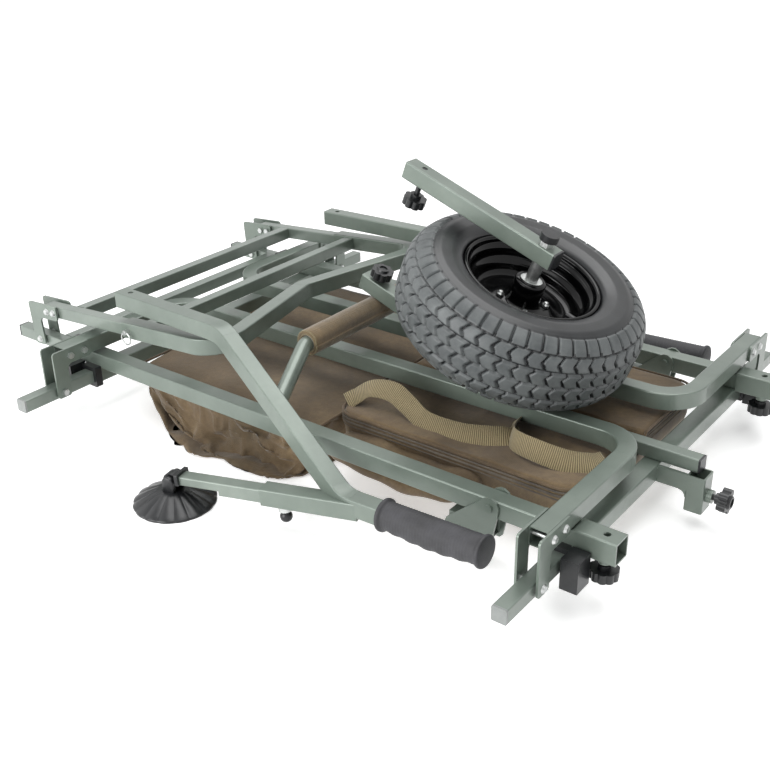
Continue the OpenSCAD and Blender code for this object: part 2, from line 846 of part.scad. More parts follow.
module tyre() {
    shoulder = 48;
    flat = tyre_half - shoulder;
    color("#4B4E50") wheel_frame() rotate_extrude($fn = 96) difference() {
        union() {
            translate([seat_r, -tyre_half + 4]) square([tyre_r - seat_r - shoulder, tyre_width - 8]);
            translate([tyre_r - shoulder, -flat]) square([shoulder, 2 * flat]);
            intersection() {
                for (s = [-1, 1]) translate([tyre_r - shoulder, s * flat]) circle(r = shoulder);
                translate([seat_r, -tyre_half]) square([tyre_r, tyre_width]);
            }
        }
        translate([seat_r - 1, -tyre_half + 26]) square([tyre_r - seat_r - 9, tyre_width - 52]);
    }
}

module rim() {
    color("#1F2022") wheel_frame() rotate_extrude($fn = 96) difference() {
        union() {
            translate([seat_r - 6, -tyre_half + 6]) square([6, tyre_width - 12]);
            for (s = [-1, 1]) translate([seat_r - 10, s * (tyre_half - 3) - 2]) square([10, 4]);
            translate([22, -5]) square([seat_r - 25, 10]);
            translate([16, -hub_half]) square([8, 2 * hub_half]);
        }
        for (s = [-1, 1]) translate([15, s * (hub_half - 5) - 5]) square([5, 10.1]);
    }
}

module bearings() {
    color("#B4B6B6") wheel_frame() for (s = [-1, 1]) translate([0, 0, s * (hub_half - 5)]) difference() {
        cylinder(r = 16, h = 10, center = true);
        cylinder(r = axle_r + run_gap, h = 12, center = true);
    }
}

module valve() {
    color("#26282A") wheel_frame() translate([seat_r - 32.2, 0, 30]) rotate([0, 90, 0]) cylinder(r = 4, h = 26);
}

leg_pivot_x = 930;
leg_pivot_z = rail_z + 2.5;

module leg_socket() {
    inside = tube / 2 + rest_gap;
    translate([leg_pivot_x, -rail_y, leg_pivot_z]) {
        for (s = [-1, 1])
            translate([0, s * (inside + plate / 2), 0]) rotate([90, 0, 0]) linear_extrude(height = plate, center = true)
                polygon([[-3, 13], [3, 13], [10, 9], [13, 2], [12, -8], [3, -54], [-1, -58], [-6, -58],
                    [-60, -46], [-64, -41], [-62, -36], [-9, 10]]);
        translate([-59, -inside - 1, -52]) difference() {
            cube([57, 2 * inside + 2, 26]);
            translate([-1, 2.5, 2]) cube([70, 2 * inside - 3, 22]);
        }
        cross_pin(bolt_r, 2 * inside + 1);
        for (s = [-1, 1]) translate([0, s * (inside + plate + 1.5), 0]) rotate([90, 0, 0]) cylinder(r = bolt_r * 1.7, h = 4, center = true);
    }
}

module near_leg_socket() {
    color("#8E988E") seat() leg_socket();
}

module far_leg_socket() {
    far() near_leg_socket();
}

near_rail();
far_rail();
left_cross_bar();
right_cross_bar();
corner_sockets();
centre_socket();
centre_pole();
tube_collars();
under_bag();
flat_bag();
bag_handles();
near_slide();
near_slide_caps();
near_hoop();
near_plates();
near_bolts();
far_slide();
far_slide_caps();
far_hoop();
far_plates();
far_bolts();
rack_slide();
rack_slide_caps();
rack_legs();
rack_plates();
rack_bolts();
rack_hoop();
ring_pins();
near_handle();
far_handle();
brace();
brace_pad();
grips();
handle_fittings();
near_leg();
near_knuckle();
near_foot();
near_plunger();
far_leg();
far_knuckle();
far_foot();
far_plunger();
upper_arm();
lower_arm();
axle();
arm_caps();
socket_knob();
near_corner_knob();
far_corner_knob();
upper_arm_knob();
lower_arm_knob();
axle_knob();
tyre();
rim();
bearings();
valve();
near_leg_socket();
far_leg_socket();
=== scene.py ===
"""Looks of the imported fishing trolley, built round its fixed CAD frame."""

import json
import logging
import math
from collections.abc import Callable
from dataclasses import dataclass
from enum import Enum

import bmesh
import bpy
import numpy as np
from mathutils import Matrix, Vector

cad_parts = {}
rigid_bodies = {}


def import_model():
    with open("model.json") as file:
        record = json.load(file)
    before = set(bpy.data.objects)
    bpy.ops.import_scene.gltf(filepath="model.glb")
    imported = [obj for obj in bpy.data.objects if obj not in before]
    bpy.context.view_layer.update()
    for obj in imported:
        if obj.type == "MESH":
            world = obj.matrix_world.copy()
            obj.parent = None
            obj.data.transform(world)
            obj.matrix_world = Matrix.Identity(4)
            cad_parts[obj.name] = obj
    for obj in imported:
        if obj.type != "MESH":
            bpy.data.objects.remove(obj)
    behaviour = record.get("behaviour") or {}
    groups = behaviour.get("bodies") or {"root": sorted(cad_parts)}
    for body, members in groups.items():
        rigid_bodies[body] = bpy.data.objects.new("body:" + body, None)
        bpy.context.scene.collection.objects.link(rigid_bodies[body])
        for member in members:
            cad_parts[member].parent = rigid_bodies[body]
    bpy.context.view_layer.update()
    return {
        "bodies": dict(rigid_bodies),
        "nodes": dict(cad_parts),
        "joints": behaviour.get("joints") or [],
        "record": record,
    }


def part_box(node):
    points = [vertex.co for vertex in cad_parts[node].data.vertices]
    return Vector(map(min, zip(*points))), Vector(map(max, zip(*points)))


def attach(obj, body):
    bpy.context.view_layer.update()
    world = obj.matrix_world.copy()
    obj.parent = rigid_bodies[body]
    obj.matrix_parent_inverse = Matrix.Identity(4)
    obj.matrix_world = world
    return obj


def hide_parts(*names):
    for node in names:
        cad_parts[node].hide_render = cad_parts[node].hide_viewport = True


LOG = logging.getLogger("trolley")
MM = 0.001
MIDDLE_X = 568.5
CURVE_STEPS = 24
ROD_SIDES = 8


class Body(str, Enum):
    """CAD bodies that the pieces of this scene ride on."""

    BED = "bed"
    HANDLES = "handle_set"
    WHEEL = "wheel"
    NEAR_FOOT = "near_foot_body"
    FAR_FOOT = "far_foot_body"


class Slot(str, Enum):
    """The record's material slots."""

    PAINT = "paint"
    PAINT_INNER = "paint_inner"
    ZINC = "zinc"
    BLACK = "black_plastic"
    GREY = "grey_plastic"
    FABRIC = "brown_fabric"
    WEBBING = "webbing"
    TYRE = "tyre"
    RIM = "rim_paint"
    GRIP = "grip_rubber"


def linear(code: str) -> tuple[float, float, float, float]:
    """Turn an sRGB hex colour into a linear RGBA colour.

    Each channel c follows the sRGB curve: c / 12.92 below 0.04045, else
    ((c + 0.055) / 1.055) to the power 2.4.

    Args:
        code: six hex digits after a hash sign.

    Returns:
        The four linear channels, with alpha 1.
    """
    values = [int(code[i : i + 2], 16) / 255 for i in (1, 3, 5)]
    done = [c / 12.92 if c <= 0.04045 else ((c + 0.055) / 1.055) ** 2.4 for c in values]
    return done[0], done[1], done[2], 1.0


class Graph:
    """The node tree of a material or a world, with one way to add a node."""

    def __init__(self, owner: bpy.types.Material | bpy.types.World) -> None:
        """Empty the owner's node tree.

        Args:
            owner: the material or the world.
        """
        self.owner = owner
        self.owner.use_nodes = True
        self.tree = self.owner.node_tree
        self.tree.nodes.clear()

    def add(self, kind: str, inputs: dict | None = None, **settings: object) -> bpy.types.Node:
        """Add a node, set its properties, and set or link its inputs.

        Args:
            kind: the node's type without the ShaderNode prefix.
            inputs: value or output socket for each input, by name or number.
            settings: the node's own properties.

        Returns:
            The new node.
        """
        node = self.tree.nodes.new("ShaderNode" + kind)
        for key, value in settings.items():
            setattr(node, key, value)
        for key, value in (inputs or {}).items():
            if isinstance(value, bpy.types.NodeSocket):
                self.tree.links.new(value, node.inputs[key])
            else:
                node.inputs[key].default_value = value
        return node

    def ramp(self, fac: bpy.types.NodeSocket, stops: list[tuple[float, str]]) -> bpy.types.NodeSocket:
        """Add a colour ramp.

        Args:
            fac: the socket that drives it.
            stops: position and hex colour of each stop, in order.

        Returns:
            The ramp's colour socket.
        """
        node = self.add("ValToRGB", {"Fac": fac})
        bar = node.color_ramp.elements
        for place, _ in stops[2:]:
            bar.new(place)
        for stop, (place, code) in zip(bar, stops):
            stop.position, stop.color = place, linear(code)
        return node.outputs["Color"]

    def noise(
        self, vector: bpy.types.NodeSocket, scale: float, detail: float = 3.0, rough: float = 0.55
    ) -> bpy.types.NodeSocket:
        """Add a noise texture.

        Args:
            vector: the coordinates it reads.
            scale: waves to the metre.
            detail: number of finer layers.
            rough: weight of the finer layers.

        Returns:
            Its grey socket.
        """
        node = self.add(
            "TexNoise", {"Vector": vector, "Scale": scale, "Detail": detail, "Roughness": rough}
        )
        return node.outputs["Fac"]

    def between(self, value: bpy.types.NodeSocket, low: float, high: float) -> bpy.types.NodeSocket:
        """Spread a value from 0 to 1 over the range from low to high.

        Args:
            value: the socket that is spread.
            low: result at 0.
            high: result at 1.

        Returns:
            The result's socket.
        """
        return self.add("MapRange", {"Value": value, "To Min": low, "To Max": high}).outputs["Result"]

    def weigh(
        self, first: bpy.types.NodeSocket, second: bpy.types.NodeSocket, share: float
    ) -> bpy.types.NodeSocket:
        """Mix two values: share of the first plus the rest of the second.

        Args:
            first: the value that counts by share.
            second: the value that counts by 1 - share.
            share: the first value's weight.

        Returns:
            The sum's socket.
        """
        rest = self.add("Math", {0: second, 1: 1 - share}, operation="MULTIPLY").outputs[0]
        return self.add("Math", {0: first, 1: share, 2: rest}, operation="MULTIPLY_ADD").outputs[0]

    def bump(
        self, height: bpy.types.NodeSocket, strength: float, depth: float, **inputs: object
    ) -> bpy.types.NodeSocket:
        """Add a bump.

        Args:
            height: the socket that gives the height.
            strength: share of the bump that shows.
            depth: height of a full step in metres.
            inputs: further inputs, such as the normal of a coarser bump.

        Returns:
            The normal's socket.
        """
        return self.add(
            "Bump", {"Height": height, "Strength": strength, "Distance": depth, **inputs}
        ).outputs["Normal"]

    def shade(
        self, colour: bpy.types.NodeSocket, rough: object, normal: bpy.types.NodeSocket, **inputs: object
    ) -> bpy.types.Material:
        """Close the material with one Principled shader.

        Args:
            colour: base colour socket.
            rough: roughness socket or number.
            normal: bump's normal socket.
            inputs: further shader inputs, spaces written as underscores.

        Returns:
            The finished material.
        """
        extra = {key.replace("_", " "): value for key, value in inputs.items()}
        shader = self.add(
            "BsdfPrincipled", {"Base Color": colour, "Roughness": rough, "Normal": normal, **extra}
        )
        self.add("OutputMaterial", {"Surface": shader.outputs["BSDF"]})
        return self.owner


def material_graph(name: str) -> tuple[Graph, bpy.types.NodeSocket]:
    """Start a material that reads Object coordinates.

    Args:
        name: the material's name.

    Returns:
        Its empty node tree and the socket of the coordinates.
    """
    graph = Graph(bpy.data.materials.new(name))
    return graph, graph.add("TexCoord").outputs["Object"]


@dataclass(frozen=True)
class TubePaint:
    """Satin grey-green paint on steel tube: fine orange peel, dust film and slightly rubbed patches."""

    name: str = "satin_tube_paint"
    colour: str = "#6F7A71"
    light: str = "#7D887E"
    shade: str = "#646F66"

    def build(self) -> bpy.types.Material:
        """Three close tones by broad noise, orange peel of about 1.5 mm as bump, uneven gloss.

        Returns:
            The material.
        """
        g, spot = material_graph(self.name)
        broad = g.noise(spot, 9.0, 5.0, 0.6)
        peel = g.noise(spot, 650.0, 2.0)
        tone = g.ramp(broad, [(0.3, self.shade), (0.52, self.colour), (0.75, self.light)])
        rough = g.between(g.noise(spot, 90.0, 4.0, 0.7), 0.26, 0.42)
        bump = g.bump(peel, 0.15, 0.0003)
        return g.shade(tone, rough, bump, Metallic=0.25, Coat_Weight=0.35, Coat_Roughness=0.18)


@dataclass(frozen=True)
class Zinc:
    """Bright zinc-plated steel with a cloudy passivated film."""

    name: str = "zinc_plate"

    def build(self) -> bpy.types.Material:
        """Metal with mottled grey, roughness and bump from the same mottling.

        Returns:
            The material.
        """
        g, spot = material_graph(self.name)
        cloud = g.noise(spot, 160.0, 5.0, 0.65)
        tone = g.ramp(cloud, [(0.25, "#A8ABAA"), (0.7, "#D2D4D2")])
        return g.shade(tone, g.between(cloud, 0.22, 0.42), g.bump(cloud, 0.1, 0.0002), Metallic=0.9)


@dataclass(frozen=True)
class Moulded:
    """Injection-moulded plastic or rubber: fine spark-erosion texture, dust in broad patches."""

    name: str
    colour: str
    light: str
    rough: float
    grain: float = 900.0
    depth: float = 0.25

    def build(self) -> bpy.types.Material:
        """Two close tones, grain as bump, roughness that follows the dust.

        Returns:
            The material.
        """
        g, spot = material_graph(self.name)
        dust = g.noise(spot, 30.0, 6.0, 0.65)
        tone = g.ramp(dust, [(0.35, self.colour), (0.78, self.light)])
        rough = g.between(dust, self.rough - 0.06, self.rough + 0.12)
        return g.shade(tone, rough, g.bump(g.noise(spot, self.grain, 3.0), self.depth, 0.0004))


@dataclass(frozen=True)
class Gloss:
    """Gloss black stove enamel on the pressed steel rim, with light runs in the clear layer."""

    name: str = "gloss_rim_enamel"

    def build(self) -> bpy.types.Material:
        """Near-black coat, shallow waves of about 15 mm, faint dust.

        Returns:
            The material.
        """
        g, spot = material_graph(self.name)
        dust = g.noise(spot, 60.0, 6.0, 0.7)
        tone = g.ramp(dust, [(0.4, "#050506"), (0.85, "#0E0F10")])
        bump = g.bump(g.noise(spot, 65.0, 1.0), 0.25, 0.0006)
        return g.shade(tone, g.between(dust, 0.05, 0.16), bump, Specular_IOR_Level=0.25)


@dataclass(frozen=True)
class Cloth:
    """Coated woven polyester: fine thread grid, tones in broad stains, slight sheen."""

    name: str
    dark: str
    colour: str
    light: str
    threads: float
    sheen: float = 0.25

    def build(self) -> bpy.types.Material:
        """Weave by three crossed sine waves on Object coordinates, stains by broad noise.

        The weave is the larger of the X and Y waves plus the Z wave; the tone is three quarters
        broad noise and one quarter fine noise.

        Returns:
            The material.
        """
        g, spot = material_graph(self.name)
        waves = [
            g.add(
                "TexWave",
                {"Vector": spot, "Scale": self.threads / 6.2832, "Distortion": 0.6, "Detail": 1.0},
                bands_direction=axis,
            ).outputs["Fac"]
            for axis in ("X", "Y", "Z")
        ]
        pair = g.add("Math", {0: waves[0], 1: waves[1]}, operation="MAXIMUM").outputs[0]
        weave = g.add("Math", {0: pair, 1: waves[2]}, operation="ADD").outputs[0]
        fine = g.noise(spot, 130.0, 4.0, 0.7)
        mixed = g.weigh(g.noise(spot, 7.0, 6.0, 0.62), fine, 0.75)
        tone = g.ramp(mixed, [(0.33, self.dark), (0.52, self.colour), (0.7, self.light)])
        soft = g.bump(g.noise(spot, 55.0, 4.0, 0.6), 0.3, 0.002)
        bump = g.bump(weave, 0.35, 0.0004, Normal=soft)
        rough = g.between(fine, 0.72, 0.92)
        return g.shade(tone, rough, bump, Sheen_Weight=self.sheen, Sheen_Roughness=0.5)


@dataclass(frozen=True)
class Webbing:
    """Ribbed cotton webbing: ribs across the strip, with a painted highlight on the rib tops and painted
    shade in the grooves.
    """

    name: str = "ribbed_webbing"
    rib: float = 0.0028

    def build(self) -> bpy.types.Material:
        """Ribs follow the strip's own UV map, whose U is length in metres.

        Returns:
            The material.
        """
        g, spot = material_graph(self.name)
        wave = g.add(
            "TexWave",
            {
                "Vector": g.add("TexCoord").outputs["UV"],
                "Scale": 1.0 / self.rib / 3.1416,
                "Distortion": 0.15,
                "Detail": 1.0,
            },
            bands_direction="X",
        ).outputs["Fac"]
        mixed = g.weigh(wave, g.noise(spot, 420.0, 4.0, 0.7), 0.62)
        # The tone partly follows the rib height: paler rib tops are painted highlight, darker grooves painted
        # shade; the rest is fray noise.
        tone = g.ramp(mixed, [(0.2, "#5F553D"), (0.5, "#8A7C5B"), (0.85, "#A89A78")])
        return g.shade(tone, 0.88, g.bump(mixed, 0.9, 0.0009), Sheen_Weight=0.2)


def place(points: np.ndarray) -> np.ndarray:
    """Turn millimetres from the rack tip into the shared frame's metres.

    Args:
        points: any array whose last axis is x, y, z.

    Returns:
        The same points in metres, x shifted by the middle of the trolley.
    """
    return (np.asarray(points, float) - (MIDDLE_X, 0, 0)) * MM


def smooth_step(value: np.ndarray) -> np.ndarray:
    """Give 3t^2 - 2t^3 with t held between 0 and 1."""
    t = np.clip(value, 0, 1)
    return t * t * (3 - 2 * t)


def run_length(points: np.ndarray) -> np.ndarray:
    """Give the length gone at each point of a path, from 0 at the first."""
    return np.concatenate([[0], np.cumsum(np.linalg.norm(np.diff(points, axis=0), axis=1))])


def even_steps(points: np.ndarray, count: int, closed: bool) -> np.ndarray:
    """Place points at even lengths along a path.

    Args:
        points: the path, n by 3, with its first point again at the end where it is closed.
        count: number of points returned.
        closed: whether the path is a loop, so that its end isn't given again.

    Returns:
        The points, count by 3.
    """
    gone = run_length(points)
    want = np.linspace(0, gone[-1], count, endpoint=not closed)
    return np.stack([np.interp(want, gone, points[:, k]) for k in range(3)], -1)


@dataclass
class Loft:
    """A closed skin through rings of points, each ring a closed loop.

    The rings' ends are closed by a fan round their middle, unless the last ring joins the first.
    """

    name: str
    rings: np.ndarray
    joined: bool = False

    def build(self, material: bpy.types.Material, body: Body) -> bpy.types.Object:
        """Make the mesh with a UV map in metres.

        Args:
            material: the finish.
            body: the body it rides on.

        Returns:
            The new piece.
        """
        n, m, _ = self.rings.shape
        points = place(self.rings)
        verts = points.reshape(-1, 3)
        rows = n if self.joined else n - 1
        i, j = np.meshgrid(np.arange(rows), np.arange(m), indexing="ij")
        i2, j2 = (i + 1) % n, (j + 1) % m
        quads = np.stack([i * m + j, i2 * m + j, i2 * m + j2, i * m + j2], -1).reshape(-1, 4)
        faces = quads.tolist()
        if not self.joined:
            caps = np.stack([points[0].mean(0), points[-1].mean(0)])
            verts = np.concatenate([verts, caps])
            last = (n - 1) * m
            faces += [[n * m, (k + 1) % m, k] for k in range(m)]
            faces += [[n * m + 1, last + k, last + (k + 1) % m] for k in range(m)]
        mesh = bpy.data.meshes.new(self.name)
        mesh.from_pydata(verts.tolist(), [], faces)
        self.map_uv(mesh, points, faces)
        return finish_piece(self.name, mesh, material, body)

    def map_uv(self, mesh: bpy.types.Mesh, points: np.ndarray, faces: list[list[int]]) -> None:
        """Write U as the length along the rings' middles and V as the length round the first ring.

        Args:
            mesh: the skin.
            points: the rings in metres.
            faces: the corner numbers of each face, in the mesh's order.
        """
        n, m, _ = points.shape
        along, around = run_length(points.mean(1)), run_length(points[0])
        u = np.append(np.repeat(along, m), [along[0], along[-1]])
        v = np.append(np.tile(around, n), [0, 0])
        order = np.concatenate([np.asarray(f) for f in faces])
        layer = mesh.uv_layers.new(name="UVMap")
        layer.data.foreach_set("uv", np.stack([u[order], v[order]], -1).ravel())


def finish_piece(
    name: str, mesh: bpy.types.Mesh, material: bpy.types.Material, body: Body
) -> bpy.types.Object:
    """Close a piece: outward normals, smooth shading, finish and body.

    Args:
        name: the piece's name.
        mesh: its mesh.
        material: the finish.
        body: the body it rides on.

    Returns:
        The linked object.
    """
    edit = bmesh.new()
    edit.from_mesh(mesh)
    bmesh.ops.recalc_face_normals(edit, faces=edit.faces)
    edit.to_mesh(mesh)
    edit.free()
    mesh.materials.append(material)
    mesh.polygons.foreach_set("use_smooth", np.ones(len(mesh.polygons), bool))
    piece = bpy.data.objects.new(name, mesh)
    bpy.context.scene.collection.objects.link(piece)
    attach(piece, str(getattr(body, "value", body)))
    LOG.info("%s: %d faces, rides on %s", name, len(mesh.polygons), body.value)
    return piece


def frames_along(path: np.ndarray, up: np.ndarray) -> tuple[np.ndarray, np.ndarray]:
    """Give two unit vectors square to a path at each of its points.

    Args:
        path: points, n by 3.
        up: one direction, or one for each point, that the second vector follows.

    Returns:
        The side vectors and the upright vectors.
    """
    run = np.gradient(path, axis=0)
    run /= np.linalg.norm(run, axis=1, keepdims=True)
    side = np.cross(run, np.broadcast_to(up, path.shape))
    side /= np.linalg.norm(side, axis=1, keepdims=True)
    return side, np.cross(side, run)


def spline(
    points: list[tuple[float, float, float]] | np.ndarray, count: int, closed: bool = False
) -> np.ndarray:
    """Run a Catmull-Rom curve through points, resampled to even steps.

    Between b and c it is half of 2b + (c - a) t + (2a - 5b + 4c - d) t^2 + (3b - a - 3c + d) t^3,
    with a the point before b and d the one after c.

    Args:
        points: control points in millimetres.
        count: number of points returned.
        closed: whether the curve returns to its start.

    Returns:
        The curve, count by 3.
    """
    p = np.asarray(points, float)
    p = np.concatenate([p[-1:], p, p[:2]]) if closed else np.concatenate(
        [2 * p[:1] - p[1:2], p, 2 * p[-1:] - p[-2:-1]]
    )
    t = np.linspace(0, 1, CURVE_STEPS, endpoint=False)[:, None]
    parts = []
    for a, b, c, d in zip(p, p[1:], p[2:], p[3:]):
        parts.append(
            0.5 * (
                2 * b + (c - a) * t + (2 * a - 5 * b + 4 * c - d) * t**2 + (3 * b - a - 3 * c + d) * t**3
            )
        )
    curve = np.concatenate(parts + [p[1:2] if closed else p[-2:-1]])
    return even_steps(curve, count, closed)


def rounded_loop(x0: float, x1: float, y1: float, r: float, z: float, count: int) -> np.ndarray:
    """Run round a rectangle with rounded corners, each a quarter circle in steps of 15 degrees.

    Args:
        x0: left side in millimetres.
        x1: right side.
        y1: far side; the near one lies at -y1.
        r: corner radius.
        z: height.
        count: number of points returned.

    Returns:
        The loop, count by 3.
    """
    points = []
    for cx, cy, start in (
        (x1 - r, y1 - r, 0), (x0 + r, y1 - r, 90), (x0 + r, r - y1, 180), (x1 - r, r - y1, 270)
    ):
        points += [
            (cx + r * math.cos(a), cy + r * math.sin(a), z)
            for a in np.radians(np.arange(start, start + 91, 15))
        ]
    return even_steps(np.array(points + points[:1]), count, True)


def rod(
    name: str, path: np.ndarray, radius: float, material: bpy.types.Material, body: Body,
    closed: bool = False
) -> bpy.types.Object:
    """Sweep a round section along a path.

    Each ring is the path's point plus radius times side cos angle plus rise sin angle.

    Args:
        name: the piece's name.
        path: its points in millimetres.
        radius: radius in millimetres.
        material: the finish.
        body: the body it rides on.
        closed: whether the path is a loop.

    Returns:
        The new piece.
    """
    up = np.array([0.13, 0.21, 0.97])
    side, rise = frames_along(np.concatenate([path[-1:], path, path[:1]]) if closed else path, up)
    if closed:
        side, rise = side[1:-1], rise[1:-1]
    angle = np.arange(ROD_SIDES) / ROD_SIDES * 2 * math.pi
    ring = side[:, None] * np.cos(angle)[None, :, None] + rise[:, None] * np.sin(angle)[None, :, None]
    return Loft(name, path[:, None] + radius * ring, closed).build(material, body)


@dataclass(frozen=True)
class WheelFrame:
    """Place of the leaning wheel, as in the CAD."""

    x: float = 807.0
    z: float = 233.3
    lean: float = math.radians(20.5)

    def at(self, u: np.ndarray, y: np.ndarray, w: np.ndarray) -> np.ndarray:
        """Turn wheel coordinates into the trolley's millimetres.

        Args:
            u: distance from the axle toward the lower side.
            y: distance across the bed.
            w: distance along the axle, upward.

        Returns:
            Points with x, y, z on the last axis.
        """
        c, s = math.cos(self.lean), math.sin(self.lean)
        return np.stack(np.broadcast_arrays(self.x + u * c + w * s, y, self.z - u * s + w * c), -1)


@dataclass(frozen=True)
class TurfTyre:
    """Turf tyre: rows of interlocking blocks round the tread and lugs over both shoulders."""

    radius: float = 173.6
    half: float = 64.0
    shoulder: float = 48.0
    bead: float = 98.6
    pitches: int = 48
    steps: int = 16
    depth: float = 5.0
    groove: float = 3.4
    row: float = 23.0
    bend: float = 0.34
    block_end: float = 50.0
    lug_end: float = 73.0

    def relief(self, s: np.ndarray, turn: np.ndarray) -> np.ndarray:
        """Give how much of the tread height stands at arc length s and at a turn counted in pitches.

        Straight ring grooves part the rows; each row of blocks is offset by half a pitch from
        the next and its cross grooves bend in the middle like an arrow; the lugs run on over the
        shoulder and end on the sidewall.

        Args:
            s: arc length across the tread, 0 in the middle.
            turn: turn round the wheel, one pitch for each block.

        Returns:
            1 on the blocks, 0 in the grooves.
        """
        far = np.full(s.shape, 99.0)
        row = np.zeros(s.shape)
        for k in range(-2, 3):
            far = np.minimum(far, np.abs(s - k * self.row) + 0.6)
            row += s > k * self.row
        length = 2 * math.pi * self.radius / self.pitches
        arrow = self.bend * (1 - np.abs(2 * (s / self.row % 1) - 1)) * (np.abs(s) < 2 * self.row)
        phase = (turn + 0.5 * (row % 2) + arrow) % 1
        cross = np.abs(phase - 0.5) * length
        far = np.minimum(far, np.where(np.abs(s) > self.block_end, cross + 0.3, cross))
        stand = smooth_step((far - self.groove * 0.32) / 1.3)
        return stand * smooth_step((self.lug_end - np.abs(s)) / 3)

    def build(
        self, wheel: WheelFrame, material: bpy.types.Material, sidewall_rubber_and_groove_shade: bpy.types.Material
    ) -> bpy.types.Object:
        """Revolve the profile with its relief and hide the plain CAD tyre.

        The outside is a straight tread of half width reach between two shoulder arcs, pulled in
        along its normal by the depth that the relief leaves; two ridges stand on the sidewall.

        Args:
            wheel: the wheel's place.
            material: rubber of the blocks' tops.
            sidewall_rubber_and_groove_shade: darker rubber of the sidewalls, which also darkens the grooves
                as painted shade.

        Returns:
            The tyre.
        """
        reach = self.half - self.shoulder
        ends = self.shoulder * (math.pi / 2 + 0.3)
        half = np.concatenate([np.linspace(0, 74, 41), np.linspace(76, reach + ends, 10)])
        s = np.concatenate([-half[:0:-1], half])
        over = np.clip(np.abs(s) - reach, 0, None) / self.shoulder
        w = np.sign(s) * (np.minimum(np.abs(s), reach) + self.shoulder * np.sin(over))
        r = self.radius - self.shoulder + self.shoulder * np.cos(over)
        out_w, out_r = np.sign(s) * np.sin(over), np.cos(over)
        n = self.pitches * self.steps
        turn = (np.arange(n) / self.steps)[:, None]
        sidewall = smooth_step((np.abs(s) - 70) / 4) * (self.depth - 2.2)
        ridge = 1.4 * np.exp(-(((np.abs(s) - 84) / 1.6) ** 2)) + 1.0 * np.exp(
            -(((np.abs(s) - 101) / 1.8) ** 2)
        )
        low = self.depth - sidewall - ridge
        standing = self.relief(np.broadcast_to(s, (n, len(s))), np.broadcast_to(turn, (n, len(s))))
        drop = low[None] * (1 - standing) * smooth_step((79 - np.abs(s)) / 4)[None] + (
            low * smooth_step((np.abs(s) - 75) / 4)
        )[None]
        rr, ww = r[None] - drop * out_r[None], w[None] - drop * out_w[None]
        bead = np.array([
            (104.5, 58.0), (100.6, 54.4), (self.bead, 51.0), (self.bead, 44.0),
            (106, 46), (130, 50), (152, 38), (164, 16),
        ])
        back = np.concatenate([bead, bead[::-1] * (1, -1)])
        rr = np.concatenate([rr, np.broadcast_to(back[:, 0], (n, len(back)))], 1)
        ww = np.concatenate([ww, np.broadcast_to(back[:, 1], (n, len(back)))], 1)
        angle = 2 * math.pi * turn / self.pitches
        rings = wheel.at(rr * np.cos(angle), rr * np.sin(angle), ww)
        tyre = Loft("turf_tyre", rings, True).build(material, Body.WHEEL)
        tyre.data.materials.append(sidewall_rubber_and_groove_shade)
        # Sidewalls and grooves take the darker rubber: the tyre's own black on the sidewalls, painted shade
        # in the grooves.
        smooth = np.concatenate([np.abs(s) > 79, np.ones(len(back), bool)])
        plain = np.broadcast_to(smooth, rings.shape[:2]).copy()
        plain[:, :len(s)] |= standing < 0.4
        tyre.data.polygons.foreach_set(
            "material_index", plain.ravel()[:len(tyre.data.polygons)].astype(np.int32)
        )
        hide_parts("tyre")
        return tyre


